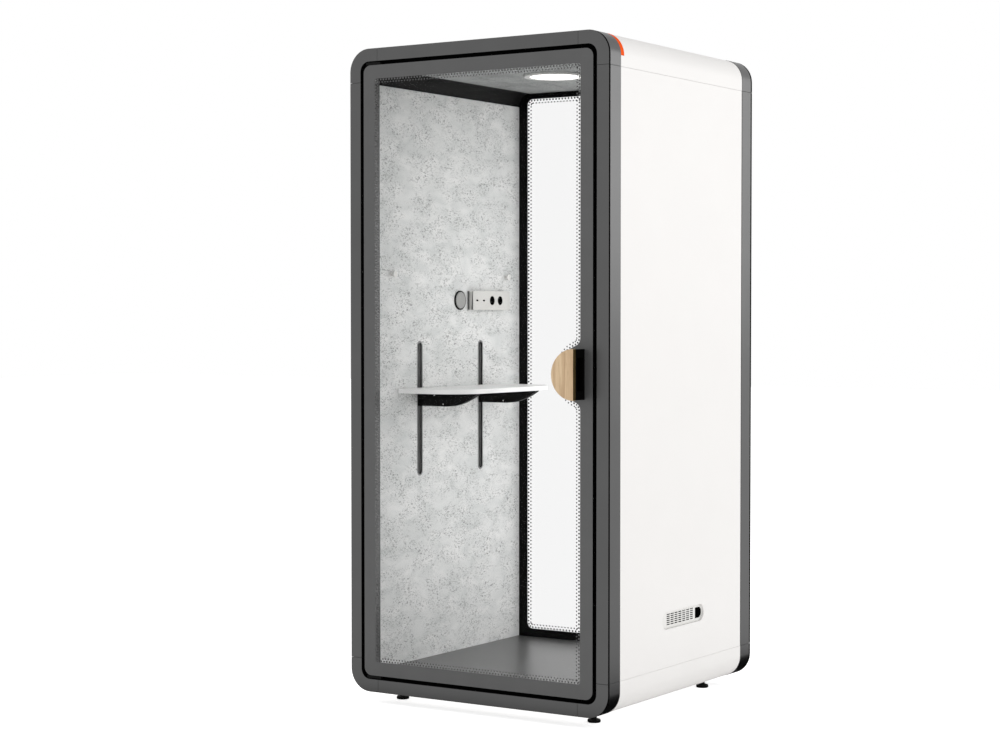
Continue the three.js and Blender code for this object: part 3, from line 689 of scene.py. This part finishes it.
class Dots(Scatter):
    """Rows of shrinking printed dots along the edge of a glass border."""

    rows = 2
    shrink = 0.2
    first_row = 0.45
    row_share = 0.75
    sides = 10

    def __init__(self) -> None:
        """Builds the tree once."""
        super().__init__("printed_dots", {"Edge": "Geometry", "Count": "Int", "Row Pitch": "Float",
                                          "Dot Radius": "Float", "Material": "Material"})
        index = add_node(self.tree, "GeometryNodeInputIndex")
        rows = [self.row(index, row) for row in range(self.rows)]
        together = add_node(self.tree, "GeometryNodeJoinGeometry")
        for row in rows:
            set_inputs(self.tree, together, {0: row})
        self.end(together)

    def row(self, index: Node, row: int) -> Node:
        """One row of dots, half a pitch on from its neighbour.

        Args:
            index: The index field.
            row: The row's number from the border.

        Returns:
            The row's instances.
        """
        tree, given = self.tree, self.given
        places = add_node(tree, "GeometryNodePoints", {"Count": given["Count"]})
        shifted = add_node(tree, "ShaderNodeMath", {0: index, 1: 0.5 * (row % 2)}, operation="ADD")
        share = add_node(tree, "ShaderNodeMath", {0: shifted, 1: given["Count"]}, operation="DIVIDE")
        sample = add_node(tree, "GeometryNodeSampleCurve", {"Curves": given["Edge"], "Factor": share},
                          mode="FACTOR", use_all_curves=True).outputs
        inward = add_node(tree, "ShaderNodeVectorMath", {0: sample["Tangent"], 1: (0, 1, 0)},
                          operation="CROSS_PRODUCT")
        step = add_node(tree, "ShaderNodeMath", {0: given["Row Pitch"], 1: row + self.first_row},
                        operation="MULTIPLY")
        away = add_node(tree, "ShaderNodeVectorMath", {0: inward, "Scale": step}, operation="SCALE")
        spot = add_node(tree, "ShaderNodeVectorMath", {0: sample["Position"], 1: away}, operation="ADD")
        moved = add_node(tree, "GeometryNodeSetPosition", {0: places, "Position": spot})
        size = add_node(tree, "ShaderNodeMath", {0: given["Dot Radius"], 1: 1 - self.shrink * row},
                        operation="MULTIPLY")
        disc = add_node(tree, "GeometryNodeMeshCircle", {"Vertices": self.sides, "Radius": size},
                        fill_type="NGON")
        upright = add_node(tree, "GeometryNodeTransform", {0: disc, "Rotation": (math.pi / 2, 0, 0)})
        return add_node(tree, "GeometryNodeInstanceOnPoints", {"Points": moved, "Instance": upright})

    def lay(self, name: str, edge: Outline, level: float, border: "PrintedBorder") -> Object:
        """Lays the dots along an edge.

        Args:
            name: The object's name.
            edge: The border's inner outline in X and Z.
            level: Where the print lies along Y.
            border: The pitch, size and ink of its dots.

        Returns:
            The dots as a plain mesh.
        """
        curve = looped(name, [[(across, level, up) for across, up in edge]])
        length = sum(math.dist(a, b) for a, b in zip(edge, edge[1:] + edge[:1]))
        return self.applied(in_scene(name, curve), {
            "Count": round(length / border.pitch), "Row Pitch": border.pitch * self.row_share,
            "Dot Radius": border.dot, "Material": border.ink.material()})


class Screws(Scatter):
    """A small round screw head on every point of a mesh, facing one way along Y."""

    sides = 14
    taper = 0.7

    def __init__(self) -> None:
        """Builds the tree once."""
        super().__init__("screw_heads", {"Places": "Geometry", "Radius": "Float", "Height": "Float",
                                         "Material": "Material"})
        tree, given = self.tree, self.given
        narrow = add_node(tree, "ShaderNodeMath", {0: given["Radius"], 1: self.taper}, operation="MULTIPLY")
        head = add_node(tree, "GeometryNodeMeshCone", {
            "Vertices": self.sides, "Side Segments": 2, "Radius Top": narrow,
            "Radius Bottom": given["Radius"], "Depth": given["Height"]})
        self.end(add_node(tree, "GeometryNodeInstanceOnPoints", {
            "Points": given["Places"], "Instance": head, "Rotation": (math.pi / 2, 0, 0)}))

    def drive(self, name: str, places: Sequence[Vector], radius: float, height: float) -> Object:
        """Sets the screws.

        Args:
            name: The object's name.
            places: Where each head sits.
            radius: A head's radius in metres.
            height: How proud it stands.

        Returns:
            The screws as a plain mesh.
        """
        mesh = bpy.data.meshes.new(name)
        mesh.from_pydata([tuple(place) for place in places], [], [])
        heads = self.applied(in_scene(name, mesh), {"Radius": radius, "Height": height,
                                                    "Material": STEEL.material()})
        return with_materials(heads, [STEEL])


@dataclass
class SubAssembly:
    """What every sub-assembly of the pod can do with its pieces. Roundings of edges are in millimetres."""

    flat_angle: ClassVar[float] = 0.4

    def dressed(self, node: str, finishes: Finish | Sequence[Finish], edge: float, pick: Picker | None = None,
                steps: int = 2) -> Object:
        """Stands a copy of a solid with rounded edges and its finish in the solid's place.

        Args:
            node: The solid's name.
            finishes: Its finish, or the finishes that pick chooses from.
            edge: The rounding of its edges.
            pick: Chooses a face's finish.
            steps: The steps across each rounding.

        Returns:
            The new piece.
        """
        mesh = closed(frame["nodes"][node].data.copy())
        with editing(mesh) as work:
            bmesh.ops.dissolve_limit(work, angle_limit=math.radians(self.flat_angle), verts=work.verts,
                                     edges=work.edges)
        copy = smoothed(in_scene(f"dressed_{node}", mesh), edge, steps)
        listed = [finishes] if isinstance(finishes, Finish) else list(finishes)
        return self.placed(with_materials(copy, listed, pick), node)

    def placed(self, piece: Object, node: str, replace: bool = True) -> Object:
        """Lets a piece ride with a solid's body, and in its stead unless it only adds to it.

        Args:
            piece: The finished object.
            node: The solid it belongs to.
            replace: Whether the solid is hidden.

        Returns:
            The same object.
        """
        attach(piece, BODY_OF[node])
        if replace:
            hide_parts(node)
        LOG.info("%s: %d faces", piece.name, len(piece.data.polygons))
        return piece

    def kept(self, node: str, finish: Finish) -> None:
        """Gives a solid that stays its finish."""
        with_materials(frame["nodes"][node], [finish])
        LOG.info("%s: kept", node)


@dataclass
class PortalFrames(SubAssembly):
    """The front and rear portal frames: rails and corners with a shadow line behind the face plate."""

    face_level: float = field(init=False)
    towards: int = field(init=False)
    corner_radius: float = 80 * MM
    face: float = 45 * MM
    plate: float = 1.4 * MM
    line: float = 9 * MM
    line_depth: float = 6 * MM
    stop: float = 25 * MM
    bay: float = 21 * MM
    flange: float = 50 * MM
    edge: float = 0.6
    arc_steps: int = 14
    # Strips marked one are black as painted shade: the three faces of the shadow line and the two faces of
    # the rebate.
    strips: ClassVar[tuple[int, ...]] = (0, 0, 1, 1, 1, 0, 0, 0, 1, 1)

    def build(self) -> None:
        """Builds both frames piece by piece."""
        for portal, towards in (("front_frame", 1), ("rear_frame", -1)):
            low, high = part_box(f"{portal}_rail_left")
            self.face_level = low.y if towards > 0 else high.y
            self.towards = towards
            profile = self.profile(portal, high.y - low.y)
            for node in (name for name in SLOT_OF if name.startswith(portal)):
                self.piece(node, profile)

    def profile(self, portal: str, depth: float) -> Outline:
        """The frame's section as inset and distance behind its face.

        Args:
            portal: Which frame it is.
            depth: The frame's depth.

        Returns:
            The section's points, one before each of the strips.
        """
        behind = self.plate + self.line
        front = portal == "front_frame"
        inner, step = (self.face + self.stop, self.stop) if front else (self.bay, self.flange)
        return [(self.face, 0), (0, 0), (0, self.plate), (self.line_depth, self.plate),
                (self.line_depth, behind), (0, behind), (0, depth), (inner, depth), (inner, step),
                (self.face, step)]

    def piece(self, node: str, profile: Outline) -> None:
        """Builds one rail or corner by pushing the section along the frame's outline.

        Args:
            node: The solid it stands for.
            profile: The section.
        """
        low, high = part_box(node)
        rings = [[Vector((x + nx * inset, self.face_level + self.towards * back, z + nz * inset))
                  for inset, back in profile]
                 for x, z, nx, nz in self.stations(node, low, high)]
        body = with_materials(lofted(f"dressed_{node}", rings, self.strips), (FRAME_PAINT, RUBBER_AND_SHADE_BLACK))
        self.placed(smoothed(body, self.edge), node)

    def stations(self, node: str, low: Vector, high: Vector) -> list[tuple[float, float, float, float]]:
        """Points along a piece's outer edge with the way inwards.

        Args:
            node: The piece's name.
            low: Its lowest corner.
            high: Its highest corner.

        Returns:
            Across, up and the inward direction at each point.
        """
        if "_rail_" in node:
            side = node.rsplit("_", 1)[1]
            if side in ("left", "right"):
                x, inward = (low.x, 1) if side == "left" else (high.x, -1)
                return [(x, low.z, inward, 0), (x, high.z, inward, 0)]
            z, inward = (low.z, 1) if side == "bottom" else (high.z, -1)
            return [(low.x, z, 0, inward), (high.x, z, 0, inward)]
        right, top = "_right" in node, "_top_" in node
        radius = self.corner_radius
        x, z = (high.x if right else low.x), (high.z if top else low.z)
        sx, sz = (1 if right else -1), (1 if top else -1)
        centre = (x - sx * radius, z - sz * radius)
        points = [(x, low.z if top else high.z, -sx, 0)]
        for i in range(self.arc_steps + 1):
            turn = math.pi / 2 * i / self.arc_steps
            nx, nz = sx * math.cos(turn), sz * math.sin(turn)
            points.append((centre[0] + radius * nx, centre[1] + radius * nz, -nx, -nz))
        return points + [(low.x if right else high.x, z, 0, -sz)]


@dataclass
class OuterShell(SubAssembly):
    """White panels, rounded edge skins and the orange strip between the two frames."""

    edge: float = 0.9
    strip_edge: float = 0.6

    def build(self) -> None:
        """Dresses every panel."""
        panels = ["side_panel_left", "side_panel_right", "roof_panel", "base_panel"]
        panels += [f"edge_skin_{level}_{side}" for level in ("bottom", "top") for side in ("left", "right")]
        for node in panels:
            self.dressed(node, PANEL_WHITE, self.edge)
        self.dressed("accent_strip", ACCENT, self.strip_edge)


@dataclass
class Lining(SubAssembly):
    """Felt walls and ceiling, black coves, floor deck and carpet."""

    felt_edge: float = 2.0
    cove_edge: float = 0.8
    carpet_edge: float = 1.0

    def build(self) -> None:
        """Dresses the lining and what lies behind it."""
        for side in ("left", "right"):
            self.dressed(f"felt_wall_{side}", FELT, self.felt_edge)
            self.dressed(f"cove_{side}", BLACK_METAL, self.cove_edge)
        self.dressed("ceiling_lining", CEILING, self.felt_edge)
        self.dressed("carpet", FLOORING, self.carpet_edge)
        self.kept("floor_deck", PLYWOOD)
        self.kept("lamp_driver", GREY_PLASTIC)


@dataclass
class PrintedBorder:
    """A printed border on a sheet of glass: its widths, and the pitch and size of the dots on its inner edge.

    The real dots are finer: they are drawn as coarse as they need to show in the render.
    """

    width_low: float
    width_high: float
    width_side: float
    corner: float
    ink: Finish
    pitch: float = 12 * MM
    dot: float = 3.4 * MM
    thickness: float = 0.25 * MM
    lift: float = 0.08 * MM
    corner_steps: int = 6

    def inner(self, low: Vector, high: Vector) -> Outline:
        """The inner outline of the border.

        Args:
            low: The sheet's lowest corner.
            high: Its highest corner.

        Returns:
            The outline, counter-clockwise from its lower right corner.
        """
        first = (low.x + self.width_side, low.z + self.width_low)
        last = (high.x - self.width_side, high.z - self.width_high)
        return rounded_rect(first, last, self.corner, self.corner_steps)


@dataclass
class Glazing(SubAssembly):
    """A sheet of glass with a printed border on its front face."""

    dots: Dots
    border: PrintedBorder

    def print_on(self, node: str, edge: Outline, corner: float) -> None:
        """Prints the border and its dots.

        Args:
            node: The sheet.
            edge: The border's inner outline.
            corner: The radius of the sheet's corners.
        """
        low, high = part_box(node)
        face = low.y - self.border.lift
        outer = rounded_rect((low.x, low.z), (high.x, high.z), corner)
        ring = plate(f"{node}_border", [outer, edge], Facing.Y, face - self.border.thickness, face)
        spots = self.dots.lay(f"{node}_dots", edge, face, self.border)
        for piece in (ring, spots):
            self.placed(with_materials(piece, [self.border.ink]), node, False)


@dataclass
class RearGlazing(Glazing):
    """Fixed rear glass with its black printed border and bead."""

    border: PrintedBorder = field(default_factory=lambda: PrintedBorder(
        57 * MM, 47 * MM, 64 * MM, 24 * MM, REAR_FRIT, 14 * MM, 3.8 * MM))
    sheet_corner: float = 34 * MM
    glass_edge: float = 1.0
    bead_edge: float = 1.5

    def build(self) -> None:
        """Builds the glass, the bead and the print."""
        self.dressed("rear_glass", GLASS, self.glass_edge)
        self.dressed("rear_glazing_bead", RUBBER_AND_SHADE_BLACK, self.bead_edge)
        self.print_on("rear_glass", self.border.inner(*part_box("rear_glass")), self.sheet_corner)


@dataclass
class Door(Glazing):
    """Glass door leaf with its grey printed border, pivot shoes, seal and half-round handle."""

    border: PrintedBorder = field(default_factory=lambda: PrintedBorder(
        49 * MM, 48 * MM, 48 * MM, 8 * MM, DOOR_FRIT))
    bulge: float = 100 * MM
    fillet: float = 28 * MM
    leaf_corner: float = 28 * MM
    glass_edge: float = 0.8
    shoe_edge: float = 0.6
    seal_edge: float = 1.2
    wood_edge: float = 2.0
    body_edge: float = 1.2
    cut_turn: float = 0.9
    bulge_steps: int = 40
    fillet_steps: int = 8

    def build(self) -> None:
        """Builds the leaf and all that rides on it."""
        self.dressed("door_glass", GLASS, self.glass_edge)
        self.print_on("door_glass", self.bulged(*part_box("door_glass")), self.leaf_corner)
        for level in ("top", "bottom"):
            self.dressed(f"pivot_shoe_{level}", BLACK_METAL, self.shoe_edge)
        self.dressed("door_seal", RUBBER_AND_SHADE_BLACK, self.seal_edge)
        self.dressed("handle_face", (OAK, OAK_SHADED_CUT), self.wood_edge, self.painted_shade_on_cut, 3)
        self.dressed("handle_body", HANDLE_BLACK, self.body_edge)

    def painted_shade_on_cut(self, middle: Vector, normal: Vector) -> int:
        """One for the handle's straight cut, beside the black body, which gets the painted shade."""
        return int(normal.x > self.cut_turn)

    def bulged(self, low: Vector, high: Vector) -> Outline:
        """The border's inner outline, swelled round the handle.

        Args:
            low: The leaf's lowest corner.
            high: Its highest corner.

        Returns:
            The outline, counter-clockwise from its lower right corner.
        """
        plain = self.border.inner(low, high)
        handle_low, handle_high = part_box("handle_face")
        centre = (handle_high.x, (handle_low.z + handle_high.z) / 2)
        side = high.x - self.border.width_side - self.fillet
        across = side - centre[0]
        rise = math.sqrt((self.bulge + self.fillet) ** 2 - across ** 2)
        lean = math.degrees(math.atan2(rise, across))
        lower = arc((side, centre[1] - rise), self.fillet, 0, 180 - lean, self.fillet_steps)
        round_handle = arc(centre, self.bulge, -lean, lean - 360, self.bulge_steps)
        upper = arc((side, centre[1] + rise), self.fillet, 180 + lean, 360, self.fillet_steps)
        corner = len(plain) // 4
        return plain[:corner] + lower + round_handle[1:-1] + upper + plain[corner:]


@dataclass
class Desk(SubAssembly):
    """Work top on two curved brackets that slide in two wall rails."""

    top_edge: float = 1.5
    metal_edge: float = 0.8
    screw: float = 2.6 * MM
    screw_height: float = 1.0 * MM
    screw_proud: float = 0.4
    screw_places: tuple[Point2, ...] = ((72 * MM, 40 * MM), (111 * MM, 8 * MM))

    def build(self) -> None:
        """Builds the top, the rails and the brackets with their screws."""
        screws = Screws()
        self.dressed("desk_top", LAMINATE, self.top_edge, steps=3)
        for end in ("front", "rear"):
            rail, bracket = f"desk_rail_{end}", f"desk_bracket_{end}"
            self.dressed(rail, RAIL, self.metal_edge)
            self.dressed(bracket, BLACK_METAL, self.metal_edge)
            low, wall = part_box(bracket)[0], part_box(rail)[1].x
            places = [Vector((wall + across, low.y - self.screw_proud * self.screw_height, low.z + up))
                      for across, up in self.screw_places]
            heads = screws.drive(f"desk_screws_{end}", places, self.screw, self.screw_height)
            self.placed(heads, bracket, False)


@dataclass
class WallPiece(SubAssembly):
    """A fitting on a wall, between its two corners."""

    low: Vector = field(init=False)
    high: Vector = field(init=False)

    def within(self, middle: Vector, margin: float) -> bool:
        """Whether a face lies further than a margin from the fitting's ends, along and up the wall."""
        return all(self.low[i] + margin < middle[i] < self.high[i] - margin for i in (1, 2))


@dataclass
class WallFittings(WallPiece):
    """Socket box, dial and coat pegs on the left wall."""

    box_edge: float = 1.0
    bezel_edge: float = 0.8
    dial_edge: float = 1.2
    peg_edge: float = 2.0
    cover: float = 1.2 * MM
    margin: float = 3 * MM
    # The band and the wedge on the box's front end are painted shade.
    shade_band: float = 9 * MM
    wedge_low: float = 7.5 * MM
    wedge_high: float = 1.2 * MM
    line_end: float = 1 * MM
    line_inset: float = 0.3 * MM
    line_thickness: float = 0.3 * MM
    line_lift: float = 0.05 * MM

    def build(self) -> None:
        """Builds the fittings."""
        self.low, self.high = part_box("socket_box")
        self.dressed("socket_box", (GREY_PLASTIC, RUBBER_AND_SHADE_BLACK), self.box_edge, self.in_well)
        self.painted_shade_lines()
        self.dressed("dial_bezel", BLACK, self.bezel_edge)
        self.dressed("dial_knob", DIAL_GREY, self.dial_edge, steps=3)
        for end in ("front", "rear"):
            self.dressed(f"coat_peg_{end}", VENT_GREY, self.peg_edge, steps=3)

    def in_well(self, middle: Vector, normal: Vector) -> int:
        """One for a face down in a socket or port, away from the box's outer walls."""
        return int(middle.x < self.high.x - self.cover and self.within(middle, self.margin))

    def painted_shade_lines(self) -> None:
        """Painted shade on the box's front end: a dark band at the wall and a tapered dark wedge under the
        cover.
        """
        bottom, top = self.low.z + self.line_end, self.high.z - self.line_end
        inner, back = self.low.x + self.line_inset, self.low.x + self.shade_band
        outer = self.high.x - self.cover
        band = [(inner, bottom), (back, bottom), (back, top), (inner, top)]
        wedge = [(outer - self.wedge_low, bottom), (outer, bottom), (outer, top),
                 (outer - self.wedge_high, top)]
        face = self.low.y - self.line_lift
        lines = plate("socket_box_painted_shade", [band, wedge], Facing.Y, face - self.line_thickness, face)
        self.placed(with_materials(lines, [SHADE_GREY]), "socket_box", False)


@dataclass
class CeilingLamp(SubAssembly):
    """Round ceiling lamp: a ring and its glowing diffuser."""

    ring_edge: float = 2.0
    diffuser_edge: float = 1.5

    def build(self) -> None:
        """Builds both pieces."""
        self.dressed("lamp_ring", LAMP_RIM, self.ring_edge, steps=3)
        self.dressed("lamp_diffuser", LAMP_GLOW, self.diffuser_edge)


@dataclass
class Vent(WallPiece):
    """Vent grille with its cable inlet, and the fan behind it."""

    grille_edge: float = 0.3
    rim: float = 5 * MM
    back_turn: float = -0.5
    wall_turn: float = 0.4
    inlet_flat: float = 139.5 * MM
    inlet_centre: Point2 = (166.5 * MM, 318 * MM)
    inlet_radius: float = 19 * MM
    inlet_steps: int = 16
    # The black cup behind the inlet is painted shade.
    shade_cup_wall: float = 1 * MM
    shade_cup_depth: float = 44 * MM
    shade_cup_play: float = 0.2 * MM
    grille_gap: float = 0.1 * MM
    floor_gap: float = 0.02 * MM

    def build(self) -> None:
        """Builds the grille and the black cup of painted shade in the inlet, and dresses the fan."""
        self.low, self.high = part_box("vent_grille")
        self.dressed("vent_grille", (VENT_GREY, RUBBER_AND_SHADE_BLACK), self.grille_edge, self.painted_shade_in_slot)
        self.inlet()
        self.kept("fan_housing", BLACK)
        self.kept("fan_rotor", BLACK)

    def painted_shade_in_slot(self, middle: Vector, normal: Vector) -> int:
        """One for the walls of the slots and for the grille's back, which are black as painted shade."""
        in_wall = normal.x < self.wall_turn and self.within(middle, self.rim)
        return int(normal.x < self.back_turn or in_wall)

    def inlet(self) -> None:
        """Painted shade: a black cup behind the cable inlet."""
        front = self.low.x - self.grille_gap
        back = front - self.shade_cup_depth
        outer = self.d_shape(self.shade_cup_play)
        walls = plate("cable_inlet_shade_walls", [outer, self.d_shape(self.shade_cup_wall)], Facing.X, back, front)
        floor = plate("cable_inlet_shade_floor", [outer], Facing.X, back - self.shade_cup_wall, back - self.floor_gap)
        for piece in (walls, floor):
            self.placed(with_materials(piece, [RUBBER_AND_SHADE_BLACK]), "vent_grille", False)

    def d_shape(self, inset: float) -> Outline:
        """The inlet's outline.

        Args:
            inset: How much smaller it is all round.

        Returns:
            The outline in Y and Z.
        """
        flat, radius = self.inlet_flat + inset, self.inlet_radius - inset
        up = self.inlet_centre[1]
        nose = arc(self.inlet_centre, radius, -90, 90, self.inlet_steps)
        return [(flat, up + radius), (flat, up - radius)] + nose


@dataclass
class Feet(SubAssembly):
    """Four levelling feet: a round pad, a slim neck and a flange under the base."""

    pad: float = 22.5 * MM
    pad_height: float = 11 * MM
    pad_edge: float = 4 * MM
    pad_turn: float = 80
    pad_steps: int = 5
    bevel: float = 2 * MM
    neck: float = 9 * MM
    flare: Point2 = (3 * MM, 5 * MM)
    flange: float = 16 * MM
    flange_height: float = 7 * MM
    base_gap: float = 0.3 * MM

    def build(self) -> None:
        """Turns each foot."""
        for node in (name for name in SLOT_OF if name.startswith("foot_")):
            low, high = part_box(node)
            centre = Vector(((low.x + high.x) / 2, (low.y + high.y) / 2, low.z))
            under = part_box("base_panel")[0].z - low.z
            foot = turned(f"dressed_{node}", self.profile(under), centre)
            self.placed(with_materials(smoothed(foot, 0), [BLACK]), node)

    def profile(self, under: float) -> Outline:
        """The foot's section.

        Args:
            under: The height of the base panel's underside.

        Returns:
            Radius and height pairs from the pad's middle to the flange's.
        """
        top = under - self.base_gap
        flange_low = top - self.flange_height
        middle = (self.pad - self.pad_edge, self.pad_height - self.pad_edge)
        shoulder = arc(middle, self.pad_edge, 0, self.pad_turn, self.pad_steps)
        return [(0, 0), (self.pad - self.bevel, 0), (self.pad, self.bevel), *shoulder,
                (self.neck + self.flare[0], self.pad_height + self.bevel),
                (self.neck, self.pad_height + self.flare[1]), (self.neck, flange_low),
                (self.flange, flange_low + self.bevel), (self.flange, top), (0, top)]


@dataclass(frozen=True)
class Softbox:
    """A soft oblong lamp: its place, the point it faces, its size in metres and its power in watts."""

    name: str
    place: Point3
    aim: Point3
    size: Point2
    power: float

    def hang(self) -> None:
        """Puts the lamp into the scene, where only its light shows."""
        data = bpy.data.lights.new(self.name, "AREA")
        data.shape = "RECTANGLE"
        data.size, data.size_y = self.size
        data.energy = self.power
        lamp = in_scene(self.name, data)
        lamp.location = self.place
        lamp.visible_camera = False
        lamp.visible_transmission = False
        lamp.rotation_euler = (Vector(self.aim) - Vector(self.place)).to_track_quat("-Z", "Y").to_euler()


@dataclass
class Studio:
    """Camera at the photograph's angle, white floor and background, soft daylight."""

    camera_place: Point3 = (3.9152, -6.3633, 1.3628)
    camera_turn: Point3 = (88.391, 0.0, 32.972)
    lens: float = 74.84
    sensor: float = 36.0
    daylight: float = 1.0
    band_start: float = 0.45
    band_end: float = 0.75
    floor_half: float = 30.0
    floor_white: str = "#F4F4F4"
    floor_rough: float = 0.9
    floor_glow: float = 0.7
    floor_bounce: float = 0.33
    dark_middle: float = 0.26
    dark_half: Point2 = (0.85, 0.84)
    dark_fade: Point2 = (1.0, 1.15)
    lamps: tuple[Softbox, ...] = (
        Softbox("side_softbox", (4.5, 5.5, 2.7), (0.5, 0, 1.3), (2.6, 2.6), 45.0),
        Softbox("inside_fill", (0.44, 0.28, 1.05), (-0.4, 0.28, 1.05), (0.5, 1.8), 5.8))

    def build(self) -> None:
        """Sets up the camera, light and floor."""
        scene = bpy.context.scene
        scene.view_settings.view_transform = "Standard"
        lens = bpy.data.cameras.new("camera")
        lens.lens = self.lens
        lens.sensor_width = self.sensor
        camera = in_scene("camera", lens)
        camera.location = self.camera_place
        camera.rotation_euler = [math.radians(angle) for angle in self.camera_turn]
        scene.camera = camera
        self.sky(scene)
        self.floor()
        for lamp in self.lamps:
            lamp.hang()

    def seen(self, tree: Tree) -> Node:
        """Tells rays from the camera, and those that glass sends on, from the rest.

        Args:
            tree: The tree that gets the node.

        Returns:
            A node that gives one for such a ray, else zero.
        """
        path = add_node(tree, "ShaderNodeLightPath").outputs
        return add_node(tree, "ShaderNodeMath", {0: path["Is Camera Ray"], 1: path["Is Transmission Ray"]},
                        operation="MAXIMUM")

    def sky(self, scene: bpy.types.Scene) -> None:
        """White to the eye, soft daylight on the pod, and a white band round the horizon in reflections.

        Args:
            scene: The scene that gets it.
        """
        world = bpy.data.worlds.new("studio")
        world.use_nodes = True
        tree = world.node_tree
        way = add_node(tree, "ShaderNodeTexCoord").outputs["Generated"]
        rise = add_node(tree, "ShaderNodeSeparateXYZ", {0: way}).outputs["Z"]
        slope = add_node(tree, "ShaderNodeMath", {0: rise}, operation="ABSOLUTE")
        band = add_node(tree, "ShaderNodeMapRange", {0: slope, 1: self.band_end, 2: self.band_start})
        glossy = add_node(tree, "ShaderNodeLightPath").outputs["Is Glossy Ray"]
        bright = add_node(tree, "ShaderNodeMix", {0: glossy, 2: self.daylight, 3: band})
        light = tree.nodes["Background"]
        set_inputs(tree, light, {"Color": linear(WHITE), "Strength": bright})
        white = add_node(tree, "ShaderNodeBackground", {"Color": linear(WHITE), "Strength": 1.0})
        both = add_node(tree, "ShaderNodeMixShader", {0: self.seen(tree), 1: light, 2: white})
        set_inputs(tree, tree.nodes["World Output"], {"Surface": both})
        scene.world = world

    def floor(self) -> None:
        """A white floor that keeps the pod's shadow and is dark near the pod in reflections."""
        mesh = bpy.data.meshes.new("floor")
        half = self.floor_half
        corners = [(-half, -half, 0), (half, -half, 0), (half, half, 0), (-half, half, 0)]
        mesh.from_pydata(corners, [], [range(len(corners))])
        ground = in_scene("floor", mesh)
        material = bpy.data.materials.new("white_studio_floor")
        material.use_nodes = True
        tree = material.node_tree
        shader = tree.nodes["Principled BSDF"]
        glow = add_node(tree, "ShaderNodeMapRange", {0: self.seen(tree), 3: self.floor_bounce,
                                                     4: self.floor_glow})
        set_inputs(tree, shader, {"Base Color": linear(self.floor_white), "Roughness": self.floor_rough,
                                  "Specular IOR Level": 0.0, "Emission Color": linear(WHITE),
                                  "Emission Strength": glow})
        path = add_node(tree, "ShaderNodeLightPath").outputs
        mirror = add_node(tree, "ShaderNodeEmission", {"Color": linear(WHITE),
                                                       "Strength": self.beyond(tree, path)})
        both = add_node(tree, "ShaderNodeMixShader", {0: path["Is Glossy Ray"], 1: shader, 2: mirror})
        set_inputs(tree, tree.nodes["Material Output"], {"Surface": both})
        mesh.materials.append(material)

    def beyond(self, tree: Tree, path: bpy.types.bpy_prop_collection) -> Node:
        """How bright the floor is in reflections: dark under and near the pod, white further off.

        Args:
            tree: The floor's nodes.
            path: The outputs of its Light Path node. What is seen through glass stays white.

        Returns:
            A node that gives zero to one.
        """
        place = add_node(tree, "ShaderNodeTexCoord").outputs["Object"]
        half_x, half_y = self.dark_half
        zone = add_node(tree, "ShaderNodeMapping", {
            "Vector": place, "Location": (0, -self.dark_middle / half_y, 0),
            "Scale": (1 / half_x, 1 / half_y, 0)})
        spread = add_node(tree, "ShaderNodeVectorMath", {0: zone}, operation="ABSOLUTE")
        sides = add_node(tree, "ShaderNodeSeparateXYZ", {0: spread}).outputs
        away = add_node(tree, "ShaderNodeMath", {0: sides["X"], 1: sides["Y"]}, operation="MAXIMUM")
        low, high = self.dark_fade
        faded = add_node(tree, "ShaderNodeMapRange", {0: away, 1: low, 2: high})
        return add_node(tree, "ShaderNodeMath", {0: faded, 1: path["Is Transmission Ray"]},
                        operation="MAXIMUM")


def main() -> None:
    """Builds the sub-assemblies in order, then the studio."""
    logging.basicConfig(level=logging.INFO, format="%(name)s %(message)s")
    dots = Dots()
    parts = (PortalFrames(), OuterShell(), Lining(), RearGlazing(dots), Door(dots), Desk(), WallFittings(),
             CeilingLamp(), Vent(), Feet())
    for part in parts:
        part.build()
    Studio().build()


if __name__ == "__main__":
    main()
